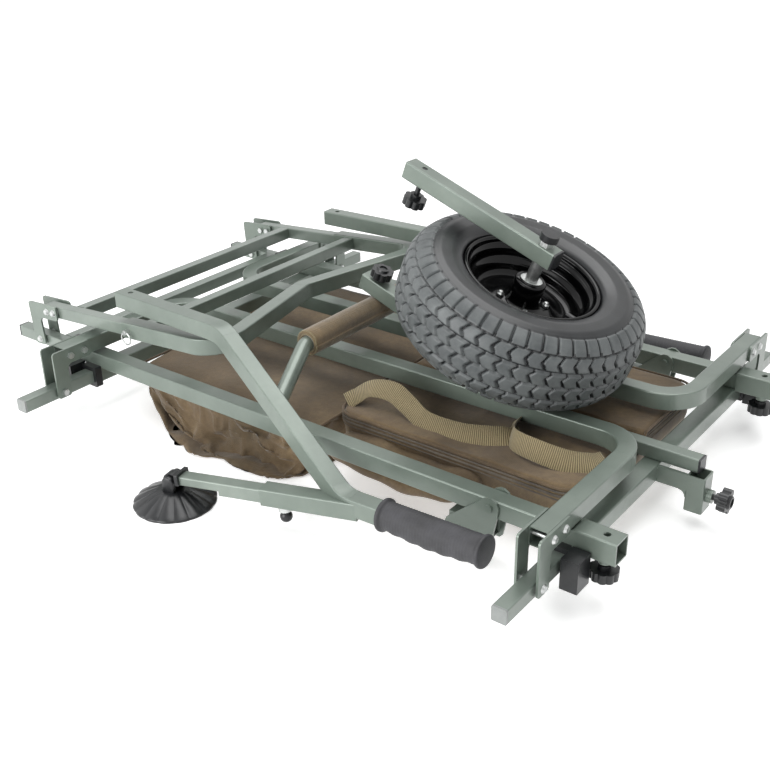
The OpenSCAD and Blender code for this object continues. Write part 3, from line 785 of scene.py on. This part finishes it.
@dataclass(frozen=True)
class DishedRim:
    """Pressed steel rim: rolled flanges, stepped barrel, dished web with a ring of nuts, and hub."""

    bolts: int = 4
    bolt_circle: float = 33.0
    nut_corner: float = 5.6
    steps: int = 144
    barrel: tuple[tuple[float, float], ...] = (
        (97.9, 45.0), (98.0, 50.0), (97.2, 52.2), (95.2, 53.2), (93.0, 52.6), (91.4, 50.4), (90.6, 46.5),
        (89.6, 43.5), (86.6, 41.5), (84.6, 38.5), (84.0, 30.0), (83.0, 26.0), (79.5, 23.0), (76.0, 18.5),
        (74.2, 10.5),
    )
    web: tuple[tuple[float, float], ...] = (
        (70.0, 6.0), (62.0, 4.2), (50.0, 6.5), (40.0, 9.2), (30.0, 10.2), (25.0, 12.0), (23.2, 18.0),
        (22.6, 36.0), (22.0, 44.6), (20.0, 45.8), (16.3, 45.8), (16.3, 41.0),
    )

    def build(
        self, wheel: WheelFrame, enamel: bpy.types.Material, zinc: bpy.types.Material
    ) -> bpy.types.Object:
        """Revolve the profile, mirrored over the wheel's middle, and stand the nuts on the web.

        Args:
            wheel: the wheel's place.
            enamel: finish of the rim.
            zinc: finish of the nuts.

        Returns:
            The rim.
        """
        top = np.array(self.barrel + self.web)
        both = np.concatenate([top, top[::-1] * (1, -1)])
        profile = spline(np.c_[both, np.zeros(len(both))], 150)[:, :2]
        profile = np.concatenate([profile, [(92.0, -38.0), (91.0, 0.0), (92.0, 38.0)]])
        angle = (np.arange(self.steps) / self.steps * 2 * math.pi)[:, None]
        rings = wheel.at(
            profile[:, 0] * np.cos(angle),
            profile[:, 0] * np.sin(angle),
            np.broadcast_to(profile[:, 1], (self.steps, len(profile))),
        )
        rim = Loft("dished_rim", rings, True).build(enamel, Body.WHEEL)
        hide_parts("rim")
        for k in range(self.bolts):
            q = 2 * math.pi * (k + 0.4) / self.bolts
            u, y = self.bolt_circle * math.cos(q), self.bolt_circle * math.sin(q)
            self.nut("rim_nut_%d" % k, wheel, u, y, zinc)
        return rim

    def nut(self, name: str, wheel: WheelFrame, u: float, y: float, zinc: bpy.types.Material) -> None:
        """Stand one chamfered hexagon nut with its bolt end on the web.

        The hexagon's radius at angle a is the corner radius times cos 30 degrees over the cosine of
        the angle from the middle of its flat.

        Args:
            name: the piece's name.
            wheel: the wheel's place.
            u: the nut's place toward the wheel's lower side.
            y: its place across the bed.
            zinc: the finish.
        """
        a = np.linspace(0, 2 * math.pi, 36, endpoint=False)
        hexagon = self.nut_corner * math.cos(math.pi / 6) / np.cos((a % (math.pi / 3)) - math.pi / 6)
        rounds = [(13.8, 4.8), (14.0, 3.1), (16.6, 3.0), (17.0, 2.5)]
        levels = [(8.8, hexagon), (12.8, hexagon), *((w, np.full(a.shape, r)) for w, r in rounds)]
        rings = [wheel.at(u + r * np.cos(a), y + r * np.sin(a), np.full(a.shape, w)) for w, r in levels]
        Loft(name, np.stack(rings)).build(zinc, Body.WHEEL)


@dataclass(frozen=True)
class Box:
    """A soft rounded box in millimetres from the rack tip."""

    low: tuple[float, float, float]
    high: tuple[float, float, float]
    square: float
    ends: float

    def rings(self, count: int, around: int) -> np.ndarray:
        """Superellipse rings along X.

        y and z follow sign(cos) |cos| ^ square and sign(sin) |sin| ^ square; both shrink toward the
        ends by (1 - |2t - 1| ^ ends) ^ (1 / ends).

        Args:
            count: number of rings.
            around: points in each ring.

        Returns:
            The rings, count by around by 3.
        """
        low, high = np.array(self.low), np.array(self.high)
        t = 0.5 - 0.5 * np.cos(np.linspace(0.03, math.pi - 0.03, count))
        size = (1 - np.abs(2 * t - 1) ** self.ends) ** (1 / self.ends)
        a = np.linspace(0, 2 * math.pi, around, endpoint=False)
        shape = np.stack([np.sign(v) * np.abs(v) ** self.square for v in (np.cos(a), np.sin(a))], -1)
        shape = spline(np.concatenate([shape, np.zeros((around, 1))], -1), around, True)[:, :2]
        middle, half = (low + high) / 2, (high - low) / 2
        rings = np.empty((count, around, 3))
        rings[..., 0] = (low[0] + (high[0] - low[0]) * t)[:, None]
        rings[..., 1] = middle[1] + half[1] * shape[None, :, 0] * size[:, None]
        rings[..., 2] = middle[2] + half[2] * shape[None, :, 1] * np.minimum(1, size + 0.12)[:, None]
        return rings


def settle(
    piece: bpy.types.Object, held: Callable[[np.ndarray], np.ndarray], low: tuple[float, float, float],
    high: tuple[float, float, float], pressure: float, slack: float, seed: int, frames: int
) -> None:
    """Let a fabric shell wrinkle and sag, then keep it inside its space.

    It starts from a shape made uneven along its normals by a sum of twelve sine waves with random
    directions and phases.

    Args:
        piece: the shell.
        held: which of the points, in millimetres, are sewn down.
        low: lowest corner of its space in millimetres.
        high: highest corner.
        pressure: inner pressure.
        slack: share by which the fabric is larger than its first shape.
        seed: seed of the first unevenness.
        frames: steps of simulation.
    """
    mesh = piece.data
    start = np.empty(len(mesh.vertices) * 3)
    mesh.vertices.foreach_get("co", start)
    start = start.reshape(-1, 3)
    rng = np.random.default_rng(seed)
    phase = rng.uniform(0, 6.28, (12, 1))
    freq = rng.normal(0, 1, (12, 3)) * 24
    waves = np.sin(freq @ start.T + phase).sum(0) / 12
    normals = np.empty(len(mesh.vertices) * 3)
    mesh.vertices.foreach_get("normal", normals)
    rough = start + normals.reshape(-1, 3) * (waves * 0.006 - 0.003)[:, None]
    mesh.vertices.foreach_set("co", rough.ravel())
    mesh.update()
    group = piece.vertex_groups.new(name="sewn")
    group.add(np.flatnonzero(held(start / MM + (MIDDLE_X, 0, 0))).tolist(), 1.0, "REPLACE")
    cloth = piece.modifiers.new("cloth", "CLOTH")
    cloth.settings.vertex_group_mass = "sewn"
    cloth.settings.quality = 5
    cloth.settings.mass = 0.25
    cloth.settings.tension_stiffness = 18
    cloth.settings.compression_stiffness = 18
    cloth.settings.bending_stiffness = 0.35
    cloth.settings.use_pressure = True
    cloth.settings.uniform_pressure_force = pressure
    cloth.settings.shrink_min = -slack
    cloth.settings.effector_weights.gravity = 0.35
    cloth.collision_settings.use_collision = False
    scene = bpy.context.scene
    for frame in range(1, frames + 1):
        scene.frame_set(frame)
    graph = bpy.context.evaluated_depsgraph_get()
    done = np.empty(len(mesh.vertices) * 3)
    piece.evaluated_get(graph).data.vertices.foreach_get("co", done)
    piece.modifiers.remove(cloth)
    piece.vertex_groups.clear()
    scene.frame_set(1)
    rough = done.reshape(-1, 3)
    kept = np.clip(rough, place(np.array(low)), place(np.array(high)))
    mesh.vertices.foreach_set("co", kept.ravel())
    mesh.update()


@dataclass(frozen=True)
class UnderBag:
    """Stowage bag that hangs between the cross bars, its slack bottom crumpled on the ground."""

    low: tuple[float, float, float] = (232, -303, 1)
    high: tuple[float, float, float] = (614, 262, 74.2)
    wall: float = 258.0
    hem: float = 71.5
    folds: tuple[tuple[float, float, float, float, float], ...] = (
        (300, 54, 0.24, 15, 9), (330, 30, 0.36, 18, 9), (385, 46, 0.22, 15, 8), (400, 18, 0.16, 16, 8),
        (450, 34, -0.30, 16, 9), (500, 50, 0.28, 14, 8), (540, 22, -0.20, 15, 9), (570, 44, 0.30, 13, 8),
    )

    def slump(self, rings: np.ndarray) -> np.ndarray:
        """Let the lower near side spill outward and its left end draw in, as the slack cloth does.

        With f = 1 - z / 72, the spill is 44 f^1.5 times a bump that rises from x = 280 and is gone
        by 640, the side beyond it draws in by 10 f, and the left end moves right by 62 f. Each fold
        is a valley along a sloping line, given as x, z, slope, depth and width. All of it counts by
        the nearness to the near side.

        Args:
            rings: the shell's rings in millimetres.

        Returns:
            The rings after it.
        """
        x, y, z = rings[..., 0].copy(), rings[..., 1].copy(), rings[..., 2].copy()
        f = np.clip(1 - z / 72, 0, 1)
        near = smooth_step(-y / self.wall)
        bump = smooth_step((x - 280) / 90) * smooth_step((640 - x) / 110)
        y -= near * (44 * bump * f**1.5 - 10 * f * (1 - bump))
        x += near * 62 * f * smooth_step((420 - x) / 190)
        for x0, z0, fall, deep, wide in self.folds:
            off = z - z0 + fall * (x - x0)
            across = np.exp(-((off / np.where(off > 0, wide, wide * 0.4)) ** 2))
            y += near * deep * (across * np.exp(-(((x - x0) / 85) ** 4)))
        z += f * near * 3.5 * np.sin(x / 27 + 1)
        return np.stack([x, y, z], -1)

    def build(self, cloth: bpy.types.Material, piping: bpy.types.Material) -> bpy.types.Object:
        """Settle the shell, its hem and its bottom held, and sew piping round its upper edge.

        Args:
            cloth: the bag's fabric.
            piping: finish of the piping.

        Returns:
            The bag.
        """
        low, high = (self.low[0], -self.wall, self.low[2]), (self.high[0], self.wall, self.high[2])
        rings = Box(low, high, 0.22, 9).rings(120, 190)
        bag = Loft("stowage_bag", self.slump(rings)).build(cloth, Body.BED)
        settle(
            bag, lambda p: (p[:, 2] > self.hem) | (p[:, 2] < 4), self.low, self.high,
            pressure=0.3, slack=0.02, seed=7, frames=12,
        )
        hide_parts("under_bag")
        edge = rounded_loop(low[0] + 6, high[0] - 6, self.wall - 6, 16, self.hem, 200)
        rod("stowage_bag_piping", edge, 2.0, piping, Body.BED, True)
        return bag


@dataclass(frozen=True)
class FlatBag:
    """Flat zipped case that lies inside the bed, round the pole, with a banded zip along its sides."""

    left: float = 621.0
    right: float = 1004.0
    side: float = 185.0
    corner: float = 30.0
    pole: float = -12.5
    bands: tuple[tuple[float, float], ...] = ((88.0, 1.7), (82.5, 2.2), (77.0, 1.7))
    heights: tuple[tuple[float, float], ...] = (
        (43, 9), (47, 2.5), (56, 0.5), (68, 0), (74, -1.5), (80, -2.5), (86, -1.0), (91, 0.5), (94.5, 3),
        (96.2, 8),
    )

    def edge(self, z: float, out: float) -> np.ndarray:
        """Rounded rectangle round the case at height z, moved outward by out."""
        return rounded_loop(self.left - out, self.right + out, self.side + out, self.corner, z, 300)

    def build(
        self, cloth: bpy.types.Material, zip_tape: bpy.types.Material, piping: bpy.types.Material
    ) -> bpy.types.Object:
        """Crown the case, press a channel for the pole and run the zip bands round it.

        The wall is one ring for each height with its inset, the top a set of shrinking outlines
        that rise by 1.2 mm times a quarter sine wave, with creases of two crossed sine waves. The
        channel's depth counts by exp(-((y - pole) / 16)^6).

        Args:
            cloth: the case's fabric.
            zip_tape: finish of the zip bands.
            piping: finish of the piping.

        Returns:
            The case.
        """
        rings = [self.edge(z, -inset - 1.0) for z, inset in self.heights]
        outline = self.edge(96.5, 0)
        middle = np.array([(self.left + self.right) / 2, 0, 0])
        for k, shrink in enumerate((0.9, 0.8, 0.68, 0.55, 0.42, 0.3, 0.18, 0.08)):
            ring = (outline - middle) * (shrink, shrink, 1) + middle
            ring[:, 2] = 96.4 + 1.2 * math.sin(k / 7 * math.pi / 2)
            rings.append(ring)
        bottom = (self.edge(43, 0) - middle) * (0.5, 0.5, 1) + middle
        shell = np.stack([bottom, *rings])
        x, y = shell[..., 0], shell[..., 1]
        crease = 1.6 * np.sin(x / 41 + y / 63) + 1.1 * np.sin(x / 23 - y / 35 + 1.3)
        shell[..., 2] -= np.where(shell[..., 2] > 95.5, np.abs(crease) * 1.2, 0)
        trench = np.exp(-(((y - self.pole) / 16) ** 6))
        z = shell[..., 2]
        shell[..., 2] = np.where(z > 74, z - (z - 73.5) * trench, z)
        case = Loft("flat_case", shell).build(cloth, Body.BED)
        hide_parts("flat_bag")
        gusset = Box((640, -247, 43), (868, -150, 71), 0.6, 3.5).rings(60, 48)
        x, y = gusset[..., 0], gusset[..., 1]
        gusset[..., 2] += 3.0 * np.sin(x / 26) + 1.5 * np.sin(x / 11 + y / 15)
        Loft("flat_case_gusset", gusset).build(cloth, Body.BED)
        rod("flat_case_top_piping", self.with_trench(self.edge(93.5, 0.4)), 1.9, piping, Body.BED, True)
        for k, (z, radius) in enumerate(self.bands):
            band = self.with_trench(self.edge(z, 0.2))
            rod("flat_case_zip_band_%d" % k, band, radius, zip_tape, Body.BED, True)
        return case

    def with_trench(self, path: np.ndarray) -> np.ndarray:
        """Dip a path under the pole where it crosses it, by exp(-((y - pole) / 17)^6).

        Args:
            path: the path in millimetres.

        Returns:
            A copy with its dip.
        """
        done = path.copy()
        dip = np.exp(-(((path[:, 1] - self.pole) / 17) ** 6))
        done[:, 2] -= (path[:, 2] - 70.5) * dip
        return done


@dataclass(frozen=True)
class Strap:
    """A flat strip of webbing along a path, lying square to its up directions."""

    name: str
    path: list[tuple[float, float, float]]
    ups: list[tuple[float, float, float]]
    width: float = 30.0
    thick: float = 1.8
    steps: int = 120

    def build(self, material: bpy.types.Material, body: Body) -> bpy.types.Object:
        """Sweep the strip; its faces look along the up directions, carried smoothly from end to end.

        Args:
            material: the finish.
            body: the body it rides on.

        Returns:
            The strap.
        """
        path = spline(self.path, self.steps)
        ups = spline(self.ups, self.steps)
        ups /= np.linalg.norm(ups, axis=1, keepdims=True)
        side, rise = frames_along(path, ups)
        w, t = self.width / 2, self.thick / 2
        section = [
            (w - t, t), (w, 0), (w - t, -t), (0, -t * 0.9), (t - w, -t), (-w, 0), (t - w, t), (0, t * 0.9)
        ]
        rings = np.stack([path + side * a + rise * b for a, b in section], 1)
        return Loft(self.name, rings).build(material, body)


@dataclass(frozen=True)
class SleevePad:
    """Suede-like wrap round the brace: one sheet wound a little more than once, its flap's edge bound."""

    z: float
    x: float = 556.0
    length: float = 328.0
    inner: float = 11.3
    outer: float = 20.0

    def skin(self, angle: np.ndarray) -> np.ndarray:
        """Radius of the outside: a spiral that steps down by the flap's thickness at its edge."""
        turn = (angle / (2 * math.pi)) % 1
        return self.outer - 2.6 + 2.4 * smooth_step(turn * 9) * (1 - 0.35 * turn)

    def loop(self, radius: np.ndarray | float, angle: np.ndarray, y: float) -> np.ndarray:
        """Give a ring round the brace at y, with its own radius at each angle."""
        x, z = self.x + radius * np.cos(angle), self.z + radius * np.sin(angle)
        return np.stack([x, np.full(angle.shape, y), z], -1)

    def build(self, cloth: bpy.types.Material, binding: bpy.types.Material) -> bpy.types.Object:
        """Loft the sleeve from bore to skin, with rounded ends and bound edges.

        The skin is pulled in toward each end by 1.6 mm times the square of the nearness to it, and
        sags by two sine waves along the brace.

        Args:
            cloth: the wrap's finish.
            binding: finish of the bound edges.

        Returns:
            The sleeve.
        """
        a = np.linspace(0, 2 * math.pi, 120, endpoint=False)
        half = self.length / 2
        along = np.concatenate([
            [-half + 0.4, -half + 2, -half + 5],
            np.linspace(-half + 12, half - 12, 40),
            [half - 5, half - 2, half - 0.4],
        ])
        skin = self.skin(a)
        rings = [self.loop(self.inner, a, -half + 0.6)]
        for y in along:
            near = min(half - abs(y), 5) / 5
            pull = 1.6 * (1 - near) ** 2
            sag = 0.5 * math.sin(y / 21) + 0.35 * math.sin(y / 8.3 + 1)
            rings.append(self.loop(skin - pull + sag * 0.5 * np.cos(a * 3 + y / 40), a, y))
        rings.append(self.loop(self.inner, a, half - 0.6))
        pad = Loft("sleeve_pad", np.stack(rings), True).build(cloth, Body.HANDLES)
        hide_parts("brace_pad")
        for k, y in enumerate((1.2 - half, half - 1.2)):
            for shell, r in enumerate((skin - 1.4, self.inner + 2.2)):
                name = "sleeve_pad_binding_%d%d" % (k, shell)
                rod(name, self.loop(r, a, y), 1.2, binding, Body.HANDLES, True)
        return pad


@dataclass(frozen=True)
class Grip:
    """Moulded handle grip with a belly under the palm, ribs for the fingers and a flange at each end."""

    tip: tuple[float, float, float] = (957.0, -324.0, 71.3)
    root: tuple[float, float, float] = (750.0, -324.0, 64.0)
    length: float = 150.0
    radius: float = 18.6

    def build(self, side: float, name: str, rubber: bpy.types.Material) -> bpy.types.Object:
        """Loft the grip over the square tube.

        The radius is the grip's own plus a belly that swells as sine^1.5 along it, a flange at each
        end, three finger waves below and close ribs above.

        Args:
            side: 1 for the near handle, -1 for the far one.
            name: the piece's name.
            rubber: the finish.

        Returns:
            The grip.
        """
        tip = np.array(self.tip) * (1, side, 1)
        run = np.array(self.root) * (1, side, 1) - tip
        run /= np.linalg.norm(run)
        across = np.cross(run, (0, 0, 1))
        across /= np.linalg.norm(across)
        rise = np.cross(across, run)
        a = np.linspace(0, 2 * math.pi, 72, endpoint=False)
        t = np.concatenate([
            [-6, -5.4, -4],
            np.linspace(-2, self.length - 8, 110),
            [self.length - 7.2, self.length - 6.3, self.length - 6],
        ])
        under = np.clip(-np.sin(a), 0, 1)
        rings = []
        for d in t:
            k = np.clip(d / (self.length - 12), 0, 1)
            belly = 4.0 * math.sin(math.pi * k) ** 1.5
            flange = 2.6 * math.exp(-(((d + 3) / 3.2) ** 4)) + 3.4 * math.exp(
                -(((d - self.length + 9) / 3.4) ** 4)
            )
            fingers = 0.8 * math.cos(d / 24 * 2 * math.pi) * (8 < d < self.length - 16)
            ribs = 0.35 * math.cos(d / 4.2 * 2 * math.pi) * (6 < d < self.length - 14)
            r = self.radius + belly * under + flange + fingers * under + ribs * (1 - under)
            if d == t[0] or d == t[-1]:
                r = r - 1.5
            rings.append(
                tip + run * d + across * (r * np.cos(a))[:, None] + rise * (r * np.sin(a))[:, None]
            )
        return Loft(name, np.stack(rings)).build(rubber, Body.HANDLES)


@dataclass(frozen=True)
class MudFoot:
    """Broad nylon foot: a fluted cone from its rim up to two cheeks that hold the pin."""

    pin: tuple[float, float, float] = (496.844, -386.035, 35.986)
    leg: tuple[float, float] = (-0.97599, -0.21777)
    rim: float = 58.2
    flutes: int = 16
    eye: float = 8.8

    def build(self, side: float, name: str, nylon: bpy.types.Material, body: Body) -> bpy.types.Object:
        """Revolve the cone with its flutes and stand the cheeks on it.

        The radius falls from the rim to the crown and is cut back between the flutes by 2.6 mm times
        the height's own share and 1 - |sin(flutes a / 2)|^0.8. Each cheek is an arch of radius eye
        round the pin on legs that spread downward.

        Args:
            side: 1 for the near foot, -1 for the far one.
            name: the piece's name.
            nylon: the finish.
            body: the CAD body it rides on.

        Returns:
            The cone, which replaces the CAD foot.
        """
        a = np.linspace(0, 2 * math.pi, 192, endpoint=False)
        valley = np.abs(np.sin(a * self.flutes / 2)) ** 0.8
        profile = [
            (0.4, self.rim - 2, 0), (0.2, self.rim - 0.6, 0.2), (2.0, self.rim, 0.5),
            (3.6, self.rim - 0.8, 0.9), (6.5, self.rim - 6, 1.2), (10.5, 46, 1.3), (14.0, 39, 1.2),
            (17.0, 32.5, 1.0), (19.5, 27, 0.7), (21.0, 22.5, 0.35), (21.8, 17, 0.1), (22.0, 12, 0),
        ]
        x, y = self.pin[0], self.pin[1] * side
        rings = []
        for z, r, cut in profile:
            out = r - 2.6 * cut * (1 - valley)
            rings.append(np.stack([x + out * np.cos(a), y + out * np.sin(a), np.full(a.shape, z)], -1))
        cone = Loft(name, np.stack(rings)).build(nylon, body)
        run = np.array([self.leg[0], self.leg[1] * side, 0.0])
        pin = np.array([-run[1], run[0], 0.0])
        top = np.radians(np.arange(160, 0, -20))
        arc = [
            (-9.4, 17), (-9.2, 29), (-8.8, 36),
            *[(self.eye * math.cos(q), self.pin[2] + self.eye * math.sin(q)) for q in top],
            (8.8, 36), (9.2, 29), (9.4, 17),
        ]
        for k, sign in enumerate((-1, 1)):
            rings = []
            for d, shrink in ((7.9, 0.95), (8.3, 1), (13.6, 1), (14.6, 0.9)):
                middle = np.array([x, y, 0.0]) + pin * sign * d
                ring = [middle + run * u * shrink + (0, 0, 30 + (z - 30) * shrink) for u, z in arc]
                rings.append(np.array(ring))
            Loft("%s_cheek_%d" % (name, k), np.stack(rings)).build(nylon, body)
        return cone


@dataclass(frozen=True)
class Camera:
    """The photograph's camera, fitted to the rails, cross bars and wheel."""

    place: tuple[float, float, float] = (0.9348, -1.2109, 0.8038)
    yaw: float = 37.664
    pitch: float = 26.445
    roll: float = 1.026
    focal_px: float = 1078.8
    frame_px: float = 770.0
    sensor_mm: float = 36.0

    def build(self) -> bpy.types.Object:
        """Set the camera from heading, downward pitch and roll.

        The view axis is (-sin yaw cos pitch, cos yaw cos pitch, -sin pitch); right is level and then
        turned by the roll about the view axis.

        Returns:
            The camera object.
        """
        yaw, pitch, roll = (math.radians(a) for a in (self.yaw, self.pitch, self.roll))
        ahead = Vector(
            (-math.sin(yaw) * math.cos(pitch), math.cos(yaw) * math.cos(pitch), -math.sin(pitch))
        )
        level = Vector((math.cos(yaw), math.sin(yaw), 0))
        rise = level.cross(ahead)
        right = level * math.cos(roll) - rise * math.sin(roll)
        up = rise * math.cos(roll) + level * math.sin(roll)
        data = bpy.data.cameras.new("photo_camera")
        data.sensor_width = self.sensor_mm
        data.lens = self.sensor_mm * self.focal_px / self.frame_px
        data.clip_start, data.clip_end = 0.05, 50.0
        camera = bpy.data.objects.new("photo_camera", data)
        bpy.context.scene.collection.objects.link(camera)
        turn = Matrix((right, up, -ahead)).transposed().to_4x4()
        camera.matrix_world = Matrix.Translation(Vector(self.place)) @ turn
        bpy.context.scene.camera = camera
        bpy.context.scene.view_settings.view_transform = "Standard"
        return camera


@dataclass(frozen=True)
class Studio:
    """White room with soft boxes and a pale floor."""

    key: float = 18.0
    fill: float = 12.0
    front: float = 80.0
    overhead: float = 1.8
    world: float = 0.2
    floor_half: float = 14.0
    floor_glow: float = 0.42

    def lamp(self, name: str, power: float, size: float, spot: tuple[float, float, float]) -> None:
        """Add one square soft box that looks at the middle of the trolley.

        Args:
            name: the lamp's name.
            power: its power in watts.
            size: its side in metres.
            spot: its place in metres.
        """
        data = bpy.data.lights.new(name, "AREA")
        data.energy, data.size = power, size
        lamp = bpy.data.objects.new(name, data)
        lamp.location = spot
        lamp.rotation_euler = (Vector((0, 0, 0.1)) - Vector(spot)).to_track_quat("-Z", "Y").to_euler()
        bpy.context.scene.collection.objects.link(lamp)

    def build(self) -> None:
        """Place the lamps, the room and the floor.

        The room is white to the camera and to mirrored and refracted rays, and lights the trolley
        with the plain grey of the world strength.
        """
        self.lamp("key_softbox", self.key, 1.6, (0.9, -0.5, 2.5))
        self.lamp("fill_softbox", self.fill, 2.2, (-2.3, -1.2, 1.5))
        self.lamp("front_softbox", self.front, 2.2, (-0.6, -3.0, 0.95))
        data = bpy.data.lights.new("overhead_silk", "SUN")
        data.energy, data.angle = self.overhead, math.radians(50)
        silk = bpy.data.objects.new("overhead_silk", data)
        silk.rotation_euler = Vector((0.15, -0.35, -1.0)).to_track_quat("-Z", "Y").to_euler()
        bpy.context.scene.collection.objects.link(silk)
        g = Graph(bpy.data.worlds.new("white_room"))
        bpy.context.scene.world = g.owner
        rays = g.add("LightPath").outputs
        glass = {0: rays["Is Glossy Ray"], 1: rays["Is Transmission Ray"]}
        other = g.add("Math", glass, operation="MAXIMUM").outputs[0]
        seen = g.add("Math", {0: rays["Is Camera Ray"], 1: other}, operation="MAXIMUM").outputs[0]
        room = g.add("Background", {"Strength": self.world}).outputs[0]
        white = g.add("Background", {"Color": (1, 1, 1, 1)}).outputs[0]
        mix = g.add("MixShader", {"Fac": seen, 1: room, 2: white}).outputs[0]
        g.add("OutputWorld", {"Surface": mix})
        self.floor()

    def floor(self) -> None:
        """Lay a pale matt floor, lifted by a faint glow, that keeps the trolley's shadow."""
        far = self.floor_half
        mesh = bpy.data.meshes.new("studio_floor")
        mesh.from_pydata([(-far, -far, 0), (far, -far, 0), (far, far, 0), (-far, far, 0)], [], [(0, 1, 2, 3)])
        g, spot = material_graph("pale_studio_floor")
        tone = g.ramp(g.noise(spot, 3.0), [(0.3, "#FBFBFB"), (0.7, "#FFFFFF")])
        paper = g.add("BsdfDiffuse", {"Color": tone})
        glow = g.add("Emission", {"Color": (1, 1, 1, 1), "Strength": self.floor_glow})
        both = g.add("AddShader", {0: paper.outputs[0], 1: glow.outputs[0]})
        g.add("OutputMaterial", {"Surface": both.outputs[0]})
        mesh.materials.append(g.owner)
        floor = bpy.data.objects.new("studio_floor", mesh)
        bpy.context.scene.collection.objects.link(floor)


def main() -> None:
    """Build the whole scene."""
    logging.basicConfig(level=logging.INFO)
    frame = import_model()
    Camera().build()
    Studio().build()
    look = {
        Slot.PAINT: TubePaint().build(),
        Slot.PAINT_INNER: TubePaint("inner_tube_paint", "#757F77", "#838D84", "#69736B").build(),
        Slot.ZINC: Zinc().build(),
        Slot.BLACK: Moulded("black_nylon", "#0F1012", "#232527", 0.3).build(),
        Slot.GREY: Moulded("grey_nylon", "#7E8280", "#979A98", 0.45).build(),
        Slot.FABRIC: Cloth("coated_brown_polyester", "#40341E", "#625037", "#84704F", 900.0, 0.3).build(),
        Slot.WEBBING: Webbing().build(),
        Slot.TYRE: Moulded("tyre_rubber", "#45494A", "#6A6E6E", 0.42, 500.0, 0.35).build(),
        Slot.RIM: Gloss().build(),
        Slot.GRIP: Moulded("grip_rubber", "#2B2B2D", "#46464A", 0.62, 1100.0, 0.5).build(),
    }
    slots = {p["node"]: Slot(p["material_slot"]) for p in frame["record"]["subparts"]}
    for name, node in frame["nodes"].items():
        node.data.materials.clear()
        node.data.materials.append(look[slots[name]])
    piping = Cloth("brown_piping", "#3A2F1F", "#56452F", "#7A664C", 1500.0).build()
    zip_tape = Moulded("grey_brown_zip_tape", "#4E473F", "#7C7265", 0.6, 1500.0, 0.5).build()
    suede = Cloth("brown_suede_wrap", "#594A31", "#786444", "#917B58", 1400.0, 0.5).build()
    # Dark sidewall rubber, also laid in the tread grooves as painted shade.
    sidewall = Moulded("sidewall_rubber_and_groove_shade", "#121416", "#222527", 0.3, 380.0, 0.12).build()
    TurfTyre().build(WheelFrame(), look[Slot.TYRE], sidewall)
    DishedRim().build(WheelFrame(), look[Slot.RIM], look[Slot.ZINC])
    UnderBag().build(look[Slot.FABRIC], piping)
    FlatBag().build(look[Slot.FABRIC], zip_tape, piping)
    pad_low, pad_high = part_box("brace_pad")
    SleevePad(z=(pad_low[2] + pad_high[2]) / 2 / MM).build(suede, Webbing("pale_binding", 0.0016).build())
    for side, half in ((1, "near"), (-1, "far")):
        foot = MudFoot().build(side, half + "_mud_foot", look[Slot.BLACK], Body(half + "_foot_body"))
        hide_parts(half + "_foot")
    grips = [
        Grip().build(side, name, look[Slot.GRIP]) for side, name in ((1, "near_grip"), (-1, "far_grip"))
    ]
    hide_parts("grips")
    straps = [
        Strap(
            "near_strap",
            [
                (622, -160, 97), (632, -150, 104), (654, -142, 120), (690, -140, 124), (720, -146, 116),
                (760, -155, 104), (815, -150, 102), (860, -130, 104), (880, -110, 101),
            ],
            [
                (0.3, -0.3, 1), (0.1, -0.6, 1), (0, -1, 0.6), (0.1, -1, 0.4), (0, -1, 0.5),
                (0, -1, 0.8), (0, -1, 0.8), (0.2, -1, 1), (0, -0.6, 1),
            ],
        ),
        Strap(
            "right_strap",
            [
                (850, -70, 99), (862, -100, 103), (884, -136, 110), (925, -148, 112), (965, -140, 106),
                (990, -120, 102), (1000, -100, 100),
            ],
            [
                (-0.6, -0.5, 0.8), (-0.8, -0.8, 0.5), (-0.5, -1, 0.3), (0, -1, 0.4), (0.3, -1, 0.6),
                (0.4, -0.8, 1), (0.3, -0.4, 1),
            ],
        ),
    ]
    made = [strap.build(look[Slot.WEBBING], Body.BED) for strap in straps]
    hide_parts("bag_handles")


if __name__ == "__main__":
    main()
